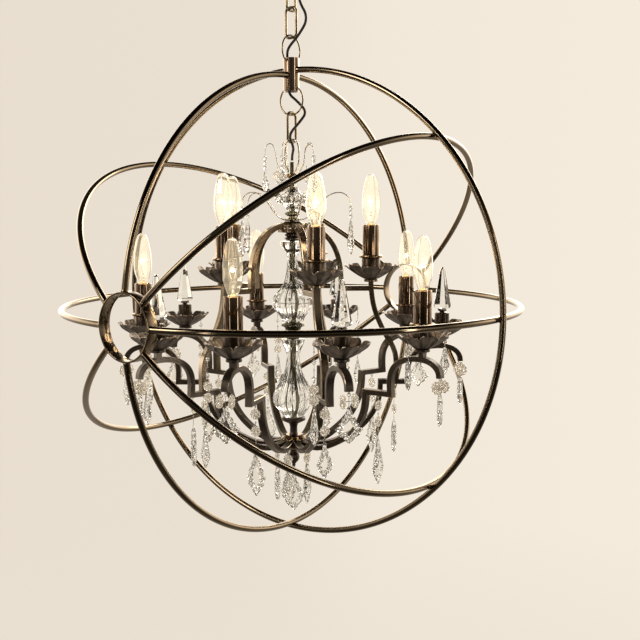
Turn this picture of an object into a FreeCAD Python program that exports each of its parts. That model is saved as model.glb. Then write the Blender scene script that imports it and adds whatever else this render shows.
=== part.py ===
import FreeCAD, Part
import math
import os

# Orb chandelier: a sphere of thin metal rods around a two-tier, ten-light crystal chandelier.
# Frame: millimetres, +Z up, origin on the ceiling plane over the orb's axis. -Y is the front pole of the orb.

# ---- driving dimensions ----
ORB_R = 400.0            # centreline radius of the eight meridian rods
ROD_R = 5.25             # rod radius
CROSS_R = 409.0          # centreline radius of the ring across the meridians
ZC = -625.0              # height of the orb's centre under the ceiling
COLLAR_R = 52.3          # outer radius of the two pole collars
COLLAR_WALL = 3.0
COLLAR_Y0, COLLAR_Y1 = 382.8, 402.6
HUB_R, HUB_BORE = 13.7, 11.2
HUB_Z0, HUB_Z1 = -252.8, -195.5
RING_R, RING_W = 24.75, 1.5       # the two round rings through the hub
RING_UP_Z, RING_LO_Z = -181.75, -267.8
LINK_A, LINK_L, LINK_W, LINK_C = 11.3, 55.6, 2.4, 8.0   # link half width, outer length, wire radius, corner
CORD_D = 4.6
CANOPY_R, CANOPY_H = 60.0, 26.0
ARM_W, ARM_T = 13.0, 9.0          # bar width (tangential) and thickness
LOWER_R, LOWER_Z = 267.0, -684.5  # lower candle circle and cup seat height
UPPER_R, UPPER_Z = 139.4, -581.8
CANDLE_AZ = [0.0, 72.0, 144.0, 216.0, 288.0]
SPIKE_AZ = [36.0, 108.0, 180.0, 252.0, 324.0]
SLEEVE_R, SLEEVE_BORE = 15.0, 13.6
STEP_Z = -764.6

V = FreeCAD.Vector
os.makedirs("parts", exist_ok=True)


def save(name, shape):
    if isinstance(shape, (list, tuple)):
        shape = Part.makeCompound(list(shape))
    ok = shape.isValid()
    shape.exportStep(os.path.join("parts", name + ".step"))
    b = shape.BoundBox
    print("%-24s solids %2d vol %10.1f valid %s  z %.1f..%.1f" % (name, len(shape.Solids), shape.Volume, ok, b.ZMin, b.ZMax))


def Z(q):
    """Height of a point given as a fraction of the orb radius above its centre."""
    return ZC + ORB_R * q


def cyl(r, z0, z1, x=0.0, y=0.0):
    return Part.makeCylinder(r, z1 - z0, V(x, y, z0))


def tube(r, bore, z0, z1, x=0.0, y=0.0):
    return cyl(r, z0, z1, x, y).cut(cyl(bore, z0 - 1, z1 + 1, x, y))


def turn(points, smooth=False, closed_on_axis=False):
    """Revolve an (r, z) outline about Z. With smooth, the outline is one fair curve closed on its inner side."""
    pts = [V(r, 0, z) for r, z in points]
    if smooth:
        c = Part.BSplineCurve()
        c.interpolate(pts)
        edges = [c.toShape()]
        inner = points[0][0] if not closed_on_axis else 0.0
        a, b = pts[-1], pts[0]
        if closed_on_axis:
            p1, p0 = V(0, 0, a.z), V(0, 0, b.z)
            if (a - p1).Length > 1e-6:
                edges.append(Part.makeLine(a, p1))
            edges.append(Part.makeLine(p1, p0))
            if (b - p0).Length > 1e-6:
                edges.append(Part.makeLine(p0, b))
        else:
            edges.append(Part.makeLine(a, b))
        w = Part.Wire(edges)
    else:
        w = Part.makePolygon(pts + [pts[0]])
    return Part.Face(w).revolve(V(0, 0, 0), V(0, 0, 1), 360)


def smooth_body(outer, bore):
    """A turned body with a fair outer curve and a straight bore."""
    pts = [V(r, 0, z) for r, z in outer]
    c = Part.BSplineCurve()
    c.interpolate(pts)
    a, b = pts[-1], pts[0]
    p1, p0 = V(bore, 0, a.z), V(bore, 0, b.z)
    w = Part.Wire([c.toShape(), Part.makeLine(a, p1), Part.makeLine(p1, p0), Part.makeLine(p0, b)])
    return Part.Face(w).revolve(V(0, 0, 0), V(0, 0, 1), 360)


def solid(s):
    if s.ShapeType == "Solid":
        t = s
    elif len(s.Solids) == 1:
        t = s.Solids[0]
    else:
        t = Part.makeSolid(Part.makeShell(s.Faces))
    if t.Volume < 0:
        t.reverse()
    return t


def sweep(wire, r, start, direction):
    prof = Part.Wire([Part.Circle(start, direction, r).toShape()])
    return solid(wire.makePipeShell([prof], True, True))


def at(shape, az, x=0.0, y=0.0, z=0.0):
    s = shape.copy()
    s.rotate(V(0, 0, 0), V(0, 0, 1), az)
    s.translate(V(x, y, z))
    return s


def put(shape, az, r, z):
    """Place a shape modelled about the origin at azimuth az, radius r, height z."""
    s = shape.copy()
    s.translate(V(r, 0, z))
    s.rotate(V(0, 0, 0), V(0, 0, 1), az)
    return s


# ---- chain links and wire loops ----
def link(plane, z_top, half=LINK_A, length=LINK_L, w=LINK_W, c=LINK_C):
    """Rounded-rectangle link, hanging from z_top (outer); plane is 'X' or 'Y', the way its width runs."""
    zt, zb = z_top - w, z_top - length + w

    def P(u, z):
        return V(u, 0, z) if plane == "X" else V(0, u, z)
    k = c * (1 - math.sqrt(0.5))
    e = [Part.makeLine(P(0, zt), P(half - c, zt)),
         Part.Arc(P(half - c, zt), P(half - k, zt - k), P(half, zt - c)).toShape(),
         Part.makeLine(P(half, zt - c), P(half, zb + c)),
         Part.Arc(P(half, zb + c), P(half - k, zb + k), P(half - c, zb)).toShape(),
         Part.makeLine(P(half - c, zb), P(-half + c, zb)),
         Part.Arc(P(-half + c, zb), P(-half + k, zb + k), P(-half, zb + c)).toShape(),
         Part.makeLine(P(-half, zb + c), P(-half, zt - c)),
         Part.Arc(P(-half, zt - c), P(-half + k, zt - k), P(-half + c, zt)).toShape(),
         Part.makeLine(P(-half + c, zt), P(0, zt))]
    d = V(1, 0, 0) if plane == "X" else V(0, 1, 0)
    return sweep(Part.Wire(e), w, P(0, zt), d)


LINK_UP_TOP = -62.4
LINK_LO_TOP = -108.1
INNER_TOP = -285.95
save("chain_link_upper", link("Y", LINK_UP_TOP))
save("chain_link_lower", link("X", LINK_LO_TOP))
save("inner_link", link("Y", INNER_TOP))

# ---- ceiling parts ----
# crossbar with two slots for the ceiling box screws and a central hole
bar = Part.makeBox(104, 20, 2.5, V(-52, -10, -2.5))
for sx in (-44.45, 44.45):
    slot = Part.makeBox(6, 4.8, 4, V(sx - 3, -2.4, -3.5))
    slot = slot.fuse(cyl(2.4, -3.5, 0.5, sx - 3)).fuse(cyl(2.4, -3.5, 0.5, sx + 3))
    bar = bar.cut(slot)
bar = bar.cut(cyl(5.0, -4, 1))
save("ceiling_bracket", bar)
# canopy: a spun dish with a rolled rim, open at the ceiling, with a centre hole and a cord hole
ca, sa = math.cos(math.radians(37.87)), math.sin(math.radians(37.87))


def view(a, d, z):
    """Point at a to the right and d away, in the horizontal directions that the front three-quarter side faces."""
    return V(a * ca - d * sa, a * sa + d * ca, z)


gland = view(24.0, -9.0, 0)
dish_out = [(5.1, -CANOPY_H), (20, -CANOPY_H), (34, -CANOPY_H + 2.2), (47, -CANOPY_H + 8.5), (55, -CANOPY_H + 17), (58, -4), (CANOPY_R, -2.6), (CANOPY_R, 0)]
dish_in = [(CANOPY_R - 1.5, 0), (CANOPY_R - 1.6, -2.2), (56.6, -3.4), (53.6, -CANOPY_H + 17.8), (46.2, -CANOPY_H + 9.9), (33.5, -CANOPY_H + 3.6), (20, -CANOPY_H + 1.4), (5.1, -CANOPY_H + 1.4)]
dish = turn(dish_out + dish_in)
dish = dish.cut(cyl(4.2, -CANOPY_H - 2, -CANOPY_H + 8, gland.x, gland.y))
save("canopy", solid(dish))
# screw collar under the canopy, knurled ring
collar = tube(11.0, 5.1, -CANOPY_H - 6.0, -CANOPY_H)
for i in range(20):
    a = math.radians(18 * i)
    collar = collar.cut(cyl(0.7, -CANOPY_H - 7, -CANOPY_H + 1, 11.2 * math.cos(a), 11.2 * math.sin(a)))
save("canopy_collar", collar)
# loop with its threaded shank up through the canopy and the crossbar
LOOP_W = 2.4
zlb = LINK_UP_TOP - 2 * LINK_W - 0.3 - LOOP_W      # centre of the loop's bottom wire
lr = 13.0
lc = zlb + lr
loop_ring = Part.makeTorus(lr, LOOP_W, V(0, 0, lc), V(0, 1, 0))
shoulder = cyl(8.0, lc + lr - 0.6, -CANOPY_H - 6.0)
shank_all = cyl(4.9, -CANOPY_H - 6.5, 0.0)
loop = loop_ring.fuse(shoulder).fuse(shank_all)
loop = loop.removeSplitter()
save("canopy_loop", loop)
# small bush in the canopy that the cord leaves through
bush = tube(4.0, 2.5, -CANOPY_H - 3.0, -CANOPY_H + 5.0, gland.x, gland.y)
bush = bush.fuse(tube(6.2, 2.5, -CANOPY_H - 3.0, -CANOPY_H - 0.2, gland.x, gland.y))
bush = solid(bush.removeSplitter())
save("cord_bushing", bush)


# ---- cords: straight runs joined by tangent arcs ----
def cord(name, pts, dia):
    edges, radii, length = [], [], 0.0
    cur = pts[0]
    for i in range(1, len(pts) - 1):
        p, q, s = pts[i - 1], pts[i], pts[i + 1]
        u, v = (q - p), (s - q)
        lu, lv = u.Length, v.Length
        u.normalize(); v.normalize()
        ang = math.acos(max(-1, min(1, u.dot(v))))
        t = 0.45 * min(lu, lv)
        r = t / math.tan(ang / 2)
        a, b = q - u * t, q + v * t
        bis = (v - u); bis.normalize()
        centre = q + bis * (r / math.cos(ang / 2))
        mid = centre - bis * r
        edges.append(Part.makeLine(cur, a))
        edges.append(Part.Arc(a, mid, b).toShape())
        length += (a - cur).Length + r * ang
        radii.append(round(r, 1))
        cur = b
    edges.append(Part.makeLine(cur, pts[-1]))
    length += (pts[-1] - cur).Length
    d0 = pts[1] - pts[0]
    d0.normalize()
    s = sweep(Part.Wire(edges), dia / 2, pts[0], d0)
    want = math.pi * dia * dia / 4 * length
    print("cord", name, "length %.1f" % length, "radii", radii, "volume ratio %.4f" % (s.Volume / want),
          "route", [(round(p.x, 2), round(p.y, 2), round(p.z, 2)) for p in pts])
    save(name, s)
    return s


UPPER_ROUTE = [view(24, -9, -32.5), view(24, -9, -54), view(15, -12, -78), view(13, -13, -101), view(30, -13, -130),
               view(13, -17, -160), view(-6, -10, -180), view(-7, 0.5, -193), view(-6.4, 1.2, -204), view(-6.4, 1.5, -213)]
LOWER_ROUTE = [view(-4.4, -2.6, -248.4), view(-4.4, -2.7, -257), view(9, -3, -268), view(27, -5, -287), view(14, -15, -306),
               view(-6, -18, -328), view(3.5, -16, -349), view(1.2, -5, -359), view(0.3, -0.4, -366), view(0.3, -0.3, -371)]
cord_up = cord("upper_cord", UPPER_ROUTE, CORD_D)
cord_lo = cord("lower_cord", LOWER_ROUTE, CORD_D)

# ---- the orb ----
hub = tube(HUB_R, HUB_BORE, HUB_Z0, HUB_Z1)
ring_up = Part.makeTorus(RING_R, RING_W, V(0, 0, RING_UP_Z), V(1, 0, 0))
ring_lo = Part.makeTorus(RING_R, RING_W, V(0, 0, RING_LO_Z), V(0, 1, 0))
hub = hub.cut(Part.makeTorus(RING_R, RING_W + 0.1, V(0, 0, RING_UP_Z), V(1, 0, 0)))
hub = hub.cut(Part.makeTorus(RING_R, RING_W + 0.1, V(0, 0, RING_LO_Z), V(0, 1, 0)))
save("hub_sleeve", solid(hub))
save("hub_rings", [ring_up, ring_lo])

axis_cyl = Part.makeCylinder(COLLAR_R, 2 * ORB_R + 60, V(0, -ORB_R - 30, ZC), V(0, 1, 0))
hub_block = Part.makeCylinder(HUB_R, HUB_Z1 - HUB_Z0 + 40, V(0, 0, HUB_Z0 - 20))


def meridian(a_deg, t0=5.5, t1=174.5):
    """Half ring from the front collar to the back collar; a_deg is measured from +Z towards +X."""
    a = math.radians(a_deg)
    q = V(math.sin(a), 0, math.cos(a))
    n = q.cross(V(0, -1, 0))
    th = math.radians(t0)
    C = V(0, 0, ZC)
    p = C + V(0, -math.cos(th) * ORB_R, 0) + q * (math.sin(th) * ORB_R)
    tan = V(0, math.sin(th), 0) + q * math.cos(th)
    f = Part.Face(Part.Wire([Part.Circle(p, tan, ROD_R).toShape()]))
    # the sweep turns from -Y towards q
    ax = V(0, -1, 0).cross(q)
    return f.revolve(C, ax, t1 - t0).cut(axis_cyl)


names = {"meridian_top": 0, "meridian_upper_right": 45, "meridian_right": 90, "meridian_lower_right": 135,
         "meridian_bottom": 180, "meridian_lower_left": 230.2, "meridian_left": 270, "meridian_upper_left": 309.8}
for nm, a in names.items():
    m = meridian(a)
    if a == 0:
        m = m.cut(hub_block)
        save(nm, m.Solids)
    else:
        save(nm, solid(m))
cross = Part.makeTorus(CROSS_R, ROD_R, V(0, 0, ZC), V(0, 1, 0)).cut(hub_block)
save("cross_ring", solid(cross))
front = Part.makeCylinder(COLLAR_R, COLLAR_Y1 - COLLAR_Y0, V(0, -COLLAR_Y1, ZC), V(0, 1, 0)).cut(
    Part.makeCylinder(COLLAR_R - COLLAR_WALL, 60, V(0, -COLLAR_Y1 - 20, ZC), V(0, 1, 0)))
back = Part.makeCylinder(COLLAR_R, COLLAR_Y1 - COLLAR_Y0, V(0, COLLAR_Y0, ZC), V(0, 1, 0)).cut(
    Part.makeCylinder(COLLAR_R - COLLAR_WALL, 60, V(0, COLLAR_Y0 - 20, ZC), V(0, 1, 0)))
save("pole_collars", [front, back])

# ---- column of the chandelier ----
BORE = 5.2
# bail at the top: an open wire loop whose legs are set in the crown disc
bail_w = 1.75
zt = INNER_TOP - LINK_L + 2 * LINK_W + 0.3 + bail_w     # centre of the bail's top wire
CROWN_Z1, CROWN_Z0 = Z(.577), Z(.557)
ed = []
P = lambda x, z: V(x, 0, z)
bs = Part.BSplineCurve()
bs.interpolate([P(-6.9, CROWN_Z0 + 3), P(-7.4, CROWN_Z1 + 1.5), P(-12.2, zt - 48), P(-15.4, zt - 34), P(-14.6, zt - 14), P(-9.2, zt - 2.6), P(0, zt),
                P(9.2, zt - 2.6), P(14.6, zt - 14), P(15.4, zt - 34), P(12.2, zt - 48), P(7.4, CROWN_Z1 + 1.5), P(6.9, CROWN_Z0 + 3)])
w = Part.Wire([bs.toShape()])
t0 = bs.tangent(bs.FirstParameter)[0]
bail = sweep(w, bail_w, P(-6.9, CROWN_Z0 + 3), t0)
save("column_loop", bail)
# hollow wireway: a thin inlet on top, the main tube below
rod = turn([(2.8, -373.5), (3.6, -373.5), (3.6, CROWN_Z1 + 1.0), (5.0, CROWN_Z1 + 1.0), (5.0, -891.3), (3.4, -891.3), (3.4, CROWN_Z1 - 1.0), (2.8, CROWN_Z1 - 1.0)])
save("centre_rod", solid(rod))
crown = turn([(BORE, CROWN_Z1), (9.0, CROWN_Z1), (10.5, CROWN_Z1 - 1.4), (10.5, CROWN_Z0 + 2.6), (7.0, CROWN_Z0), (BORE, CROWN_Z0)])
for sx in (-1, 1):
    crown = crown.cut(sweep(w, bail_w + 0.1, P(-6.9, CROWN_Z0 + 3), t0))
save("crown_disc", solid(crown))
vase = smooth_body([(9.2, Z(.5460)), (9.6, Z(.530)), (12.5, Z(.505)), (22.0, Z(.4860)), (30.6, Z(.4730)), (29.5, Z(.4600)), (20.5, Z(.4460)), (12.0, Z(.4320)), (9.6, Z(.4140))], BORE)
save("crystal_vase", solid(vase))
gal = turn([(BORE, Z(.4130)), (9.2, Z(.4130)), (11.5, Z(.4080)), (11.5, Z(.4000)), (9.4, Z(.3930)), (BORE, Z(.3930))])
sau = turn([(BORE, Z(.3915)), (6.6, Z(.3915)), (7.0, Z(.3840)), (17.4, Z(.3817)), (18.6, Z(.3800)), (18.6, Z(.3760)), (12, Z(.3720)), (BORE, Z(.3720))])
save("gallery_discs", [solid(gal), solid(sau)])
hub_u = turn([(BORE, Z(.3705)), (13.0, Z(.3705)), (16.0, Z(.3660)), (25.3, Z(.3560)), (25.3, Z(.3220)), (18.0, Z(.3195)), (BORE, Z(.3195))])
save("upper_arm_hub", solid(hub_u))
beads = turn([(BORE, Z(.3185)), (10.8, Z(.3185)), (11.6, Z(.3130)), (11.6, Z(.3060)), (10.6, Z(.3020)), (11.6, Z(.2980)), (11.6, Z(.2900)), (10.4, Z(.2840)), (BORE, Z(.2840))])
save("beaded_collar", solid(beads))
ub = smooth_body([(21.4, Z(.2815)), (20.8, Z(.2700)), (14.0, Z(.2430)), (10.4, Z(.2208)), (10.2, Z(.1800)), (12.4, Z(.1318)), (18.6, Z(.0870)), (29.0, Z(.0560)),
                  (36.0, Z(.0260)), (35.8, Z(.0000)), (29.0, Z(-.0340)), (21.0, Z(-.0620)), (19.4, Z(-.0746))], BORE)
save("upper_baluster", solid(ub))
spool = turn([(BORE, Z(-.0760)), (13.0, Z(-.0760)), (13.6, Z(-.0820)), (20.0, Z(-.0850)), (20.6, Z(-.0880)), (20.6, Z(-.0960)), (15.6, Z(-.1010)), (13.4, Z(-.1120)),
              (15.8, Z(-.1250)), (20.6, Z(-.1300)), (20.6, Z(-.1400)), (19.6, Z(-.1440)), (12.0, Z(-.1500)), (11.4, Z(-.1545)), (BORE, Z(-.1545))])
save("metal_spool", solid(spool))
lb = smooth_body([(21.4, Z(-.1560)), (19.6, Z(-.1740)), (13.6, Z(-.2080)), (12.0, Z(-.2424)), (14.8, Z(-.2900)), (25.0, Z(-.3500)), (35.4, Z(-.4000)), (37.2, Z(-.4256)),
                  (34.0, Z(-.4550)), (24.0, Z(-.4850)), (18.4, Z(-.5070))], BORE)
save("lower_baluster", solid(lb))
base = turn([(BORE, Z(-.5085)), (19.0, Z(-.5085)), (21.5, Z(-.5140)), (21.5, Z(-.5250)), (14.0, Z(-.5345)), (8.2, Z(-.5420)), (6.7, Z(-.5560)), (6.7, Z(-.5800)), (8.0, Z(-.5900)), (BORE, Z(-.5900))])
save("base_disc", solid(base))
hub_l = turn([(BORE, Z(-.5915)), (14.0, Z(-.5915)), (19.0, Z(-.5960)), (21.9, Z(-.6060)), (21.9, Z(-.6460)), (19.0, Z(-.6525)), (10.0, Z(-.6600)), (8.0, Z(-.6650)), (BORE, Z(-.6650))])
save("lower_arm_hub", solid(hub_l))
fin = turn([(0.0, Z(-.7410)), (2.6, Z(-.7405)), (3.4, Z(-.7350)), (3.0, Z(-.7290)), (5.0, Z(-.7240)), (8.8, Z(-.7120)), (10.6, Z(-.6980)), (9.6, Z(-.6830)), (6.6, Z(-.6720)), (6.4, Z(-.6665)), (0.0, Z(-.6665))])
fin = solid(fin).fuse(Part.makeTorus(2.2, 0.7, V(0, 0, Z(-.7410) - 2.0), V(0, 1, 0))).removeSplitter()
save("bottom_finial", solid(fin))


# ---- bar arms ----
def bar_solid(segments, half_t, half_w):
    """A flat bar along a path in the (r, z) plane. Each segment is a list of points: two points make a straight run,
    more make a fair curve. Runs meet at mitred corners. The bar is 2*half_t thick and 2*half_w wide."""
    left, right = [], []
    for s in segments:
        pts = [V(r, 0, z) for r, z in s]
        if len(pts) == 2:
            d = pts[1] - pts[0]
            d.normalize()
            n = V(-d.z, 0, d.x)
            left.append(("line", [pts[0] + n * half_t, pts[1] + n * half_t], d, d))
            right.append(("line", [pts[0] - n * half_t, pts[1] - n * half_t], d, d))
        else:
            c = Part.BSplineCurve()
            c.interpolate(pts)
            k = 4 * len(pts)
            A, B = [], []
            for i in range(k + 1):
                u = c.FirstParameter + (c.LastParameter - c.FirstParameter) * i / k
                p = c.value(u)
                d = c.tangent(u)[0]
                n = V(-d.z, 0, d.x)
                A.append(p + n * half_t)
                B.append(p - n * half_t)
            d0, d1 = c.tangent(c.FirstParameter)[0], c.tangent(c.LastParameter)[0]
            left.append(("curve", A, d0, d1))
            right.append(("curve", B, d0, d1))

    def chain(side):
        edges = []
        ends = []
        for i, (kind, pts, d0, d1) in enumerate(side):
            pts = list(pts)
            ends.append(pts)
        # mitre at the joints: move the shared corner to where the two offset runs cross
        for i in range(len(side) - 1):
            p, dp = ends[i][-1], side[i][3]
            q, dq = ends[i + 1][0], side[i + 1][2]
            cr = dp.x * dq.z - dp.z * dq.x
            if abs(cr) > 1e-3:
                t = ((q.x - p.x) * dq.z - (q.z - p.z) * dq.x) / cr
                m = p + dp * t
                ends[i] = ends[i] + [m] if side[i][0] == "curve" else ends[i][:-1] + [m]
                ends[i + 1] = [m] + ends[i + 1] if side[i + 1][0] == "curve" else [m] + ends[i + 1][1:]
            else:
                m = (p + q) * 0.5
                ends[i][-1] = m
                ends[i + 1][0] = m
        for i, (kind, _, d0, d1) in enumerate(side):
            pts = ends[i]
            if kind == "line":
                edges.append(Part.makeLine(pts[0], pts[-1]))
            else:
                core = pts
                # straight stubs where a mitre carried the curve on
                n0 = 1 if i > 0 and len(pts) > len(side[i][1]) and (pts[0] - side[i][1][0]).Length > 1e-6 else 0
                if n0:
                    # an inner mitre falls inside the curve: drop the points that it passes
                    edges_in = Part.makeLine(pts[0], pts[1])
                    if (pts[1] - pts[0]).dot(side[i][2]) > 0:
                        edges.append(edges_in)
                        core = pts[1:]
                    else:
                        core = [pts[0]] + [p for p in pts[1:] if (p - pts[0]).dot(side[i][2]) > 1.0]
                tail = None
                if len(side) > i + 1 and (core[-1] - side[i][1][-1]).Length > 1e-6:
                    if (core[-1] - core[-2]).dot(side[i][3]) > 0:
                        tail = Part.makeLine(core[-2], core[-1])
                        core = core[:-1]
                    else:
                        m = core[-1]
                        core = [p for p in core[:-1] if (m - p).dot(side[i][3]) > 1.0] + [m]
                c = Part.BSplineCurve()
                c.interpolate(core)
                edges.append(c.toShape())
                if tail is not None:
                    edges.append(tail)
        return edges, ends[0][0], ends[-1][-1]

    L, l0, l1 = chain(left)
    R, r0, r1 = chain(right)
    l0, l1 = L[0].valueAt(L[0].FirstParameter), L[-1].valueAt(L[-1].LastParameter)
    r0, r1 = R[0].valueAt(R[0].FirstParameter), R[-1].valueAt(R[-1].LastParameter)
    w = Part.Wire(Part.__sortEdges__(L + [Part.makeLine(l1, r1)] + R + [Part.makeLine(r0, l0)]))
    f = Part.Face(w)
    s = f.extrude(V(0, 2 * half_w, 0))
    s.translate(V(0, -half_w, 0))
    return solid(s)


def soften(s, size):
    """Round the long outer edges where the kernel can; else leave them sharp."""
    try:
        es = []
        for e in s.Edges:
            a, b = e.valueAt(e.FirstParameter), e.valueAt(e.LastParameter)
            if abs(a.y - b.y) < 1e-6 and e.Length > 3.0:
                es.append(e)
        t = s.makeChamfer(size, es)
        if t.isValid() and len(t.Solids) == 1:
            return t.Solids[0]
    except Exception:
        pass
    return s


T, W2 = ARM_T / 2, ARM_W / 2
HUB_LO_IN = 15.0
arm_path = [
    [(HUB_LO_IN, -873.5), (40, -878.5), (68, -876.0), (96, -863.5), (122, -846.5), (143, -821.5), (154.5, -794.0), (157.2, -STEP_Z * -1 + 0.0)],
    [(157.2, STEP_Z), (207.4, STEP_Z)],
    [(207.4, STEP_Z), (206.6, -744.0), (209.6, -726.0), (220.0, -711.5), (238.0, -702.6), (262.0, -699.6), (280.0, -702.0), (293.0, -709.5), (299.2, -718.5), (300.6, -727.5)],
]
arm = bar_solid(arm_path, T, W2)
hub_cut = cyl(21.9, -1000, -800)
arm = soften(solid(arm.cut(hub_cut)), 0.9)
# stem and small seat disc under each cup
STEM_T, STEM_W = 9.0, 13.0         # flat stem under each cup
seat = Part.makeBox(STEM_T, STEM_W, LOWER_Z - 2.2 + 698.5, V(-STEM_T / 2, -STEM_W / 2, -698.5)).fuse(cyl(12.5, LOWER_Z - 2.3, LOWER_Z + 2.2))
seat = seat.removeSplitter()
arm_full = arm.fuse(put(seat, 0, LOWER_R, 0)).removeSplitter()
arm_full = solid(arm_full)
# a small eye under the outer end and one under the step, for the crystals
EYE_R, EYE_W = 2.2, 0.7


def eye(r, z):
    return Part.makeTorus(EYE_R, EYE_W, V(r, 0, z), V(0, 1, 0))


OUT_R, OUT_Z = 300.6, -729.4      # centre of the eye under the outer end
STEP_R = 182.0
OUT_EYE = eye(OUT_R, OUT_Z)
arm_full = solid(arm_full.fuse(OUT_EYE).fuse(eye(STEP_R, STEP_Z - T - 1.7)).removeSplitter())
save("lower_arms", [put(arm_full, az, 0, 0) for az in sorted(CANDLE_AZ + SPIKE_AZ)])

up_path = [
    [(16.0, -483.2), (24, -484.0), (38, -488.6), (54, -497.6), (67.5, -511.5), (78, -531.5), (83.8, -553.0), (86.0, -576.0), (86.0, -595.9)],
    [(86.0, -595.9), (134.6, -595.9)],
]
ua = bar_solid(up_path, T, W2).cut(cyl(25.3, -520, -460))
ua = soften(solid(ua), 0.9)

ris_path = [[(185.0, STEP_Z + T), (185.2, -741.4), (184.2, -717.8), (177.5, -698.0), (165.6, -678.2), (155.8, -658.6), (148.2, -640.0), (142.8, -619.0), (140.2, -600.0), (139.4, UPPER_Z - 2.2)]]
ris = bar_solid(ris_path, T, W2)
# square the foot to the step's top face
ris = ris.cut(Part.makeBox(60, 40, 20, V(155, -20, STEP_Z + T - 20)))
ris = soften(solid(ris), 0.9)
seat_u = cyl(12.5, UPPER_Z - 2.3, UPPER_Z + 2.2)
ris_full = solid(ris.fuse(put(seat_u, 0, UPPER_R, 0)).removeSplitter())
ua = solid(ua.cut(ris_full))
save("upper_arms", [put(ua, az, 0, 0) for az in SPIKE_AZ])
save("risers", [put(ris_full, az, 0, 0) for az in SPIKE_AZ])

# ---- petal cups: thin bowls cut into eight petals ----
cup_out = [(4.2, 2.3), (9.0, 2.3), (18.0, 6.0), (27.0, 11.6), (36.0, 18.0), (42.0, 23.0), (46.5, 27.6)]
cup_in = [(45.6, 28.7), (41.1, 24.1), (35.1, 19.2), (26.2, 12.9), (17.3, 7.4), (9.0, 3.7), (4.2, 3.7)]
cup = turn(cup_out + cup_in)
for i in range(8):
    wedge = Part.Face(Part.makePolygon([V(37, 0, 0), V(52, 7.0, 0), V(52, -7.0, 0), V(37, 0, 0)])).extrude(V(0, 0, 40))
    wedge.rotate(V(0, 0, 0), V(0, 0, 1), 22.5 + 45 * i)
    cup = cup.cut(wedge)
cup = solid(cup)
cups = [put(cup, az, LOWER_R, LOWER_Z) for az in sorted(CANDLE_AZ + SPIKE_AZ)] + [put(cup, az, UPPER_R, UPPER_Z) for az in SPIKE_AZ]
save("petal_cups", cups)

# ---- candle lights ----
lights = [(az, LOWER_R, LOWER_Z) for az in CANDLE_AZ] + [(az, UPPER_R, UPPER_Z) for az in SPIKE_AZ]
# threaded holder stem and its drum in the cup, a drip ring on top, then the sleeve around the lampholder
holder = turn([(0, 2.3), (3.9, 2.3), (3.9, 4.0), (8.0, 4.0), (16.0, 8.8), (16.4, 9.6), (16.4, 39.4), (15.9, 40.0), (13.8, 40.0), (13.8, 42.0), (12.0, 42.0), (12.0, 68.0), (12.6, 68.5), (12.6, 86.0), (11.6, 92.0), (8.6, 92.0), (8.6, 66.0), (0, 66.0)])
save("lampholders", [put(solid(holder), *l) for l in lights])
ring = turn([(13.9, 40.2), (19.5, 40.2), (21.0, 41.6), (21.0, 43.2), (19.6, 44.6), (15.3, 44.6), (15.3, 42.2), (13.9, 42.2)])
save("drip_rings", [put(solid(ring), *l) for l in lights])
sleeve = turn([(SLEEVE_BORE, 44.7), (SLEEVE_R, 44.7), (SLEEVE_R, 97.4), (SLEEVE_R - 0.5, 98.0), (SLEEVE_BORE, 98.0)])
save("candle_sleeves", [put(solid(sleeve), *l) for l in lights])
# lamps: thin glass envelope over a screw cap
cap = turn([(0, 70.0), (3.0, 70.0), (4.6, 73.0), (7.0, 74.5), (7.0, 92.5), (8.2, 94.0), (8.2, 99.0), (6.6, 99.0), (6.6, 97.0), (0, 97.0)])
save("lamp_caps", [put(solid(cap), *l) for l in lights])
g_out = [(8.2, 99.2), (10.4, 105.0), (13.6, 113.0), (16.0, 122.0), (16.8, 132.0), (16.6, 142.0), (15.6, 153.0), (13.8, 164.0), (11.4, 174.0), (9.0, 181.2), (6.2, 185.2), (2.0, 187.2)]
c1 = Part.BSplineCurve(); c1.interpolate([V(r, 0, z) for r, z in g_out])
g_in = [(2.0, 186.0), (5.4, 184.2), (8.0, 180.5), (10.4, 173.5), (12.8, 163.6), (14.6, 152.8), (15.6, 142.0), (15.8, 132.0), (15.0, 122.4), (12.7, 113.8), (9.6, 106.0), (7.4, 100.4)]
c2 = Part.BSplineCurve(); c2.interpolate([V(r, 0, z) for r, z in g_in])
gw = Part.Wire(Part.__sortEdges__([c1.toShape(), Part.makeLine(V(2.0, 0, 187.2), V(0, 0, 187.4)), Part.makeLine(V(0, 0, 187.4), V(0, 0, 186.2)),
                Part.makeLine(V(0, 0, 186.2), V(2.0, 0, 186.0)), c2.toShape(), Part.makeLine(V(7.4, 0, 100.4), V(8.2, 0, 99.2))]))
glass = Part.Face(gw).revolve(V(0, 0, 0), V(0, 0, 1), 360)
save("lamp_glasses", [put(solid(glass), *l) for l in lights])

# ---- crystal spikes on the other five cups ----
sh = turn([(0, 2.3), (3.9, 2.3), (3.9, 4.0), (8.0, 4.0), (12.6, 7.2), (13.0, 8.0), (13.0, 43.0), (11.6, 44.4), (4.6, 44.6), (4.4, 46.4), (7.6, 47.6), (8.0, 48.6), (7.6, 50.6), (0, 51.0)])
save("spike_holders", [put(solid(sh), az, LOWER_R, LOWER_Z) for az in SPIKE_AZ])


def prism(rings, n=8, twist=0.0):
    """Faceted solid through n-sided rings (radius, z)."""
    ws = []
    for r, z in rings:
        pts = [V(r * math.cos(2 * math.pi * (i + twist) / n), r * math.sin(2 * math.pi * (i + twist) / n), z) for i in range(n)]
        ws.append(Part.makePolygon(pts + [pts[0]]))
    return solid(Part.makeLoft(ws, True, True))


spike = prism([(8.4, 51.2), (14.6, 52.8), (16.2, 56.5), (15.4, 62.0), (4.2, 121.5), (0.8, 125.6)], 8, 0.5)
save("crystal_spikes", [put(spike, az, LOWER_R, LOWER_Z) for az in SPIKE_AZ])


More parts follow.
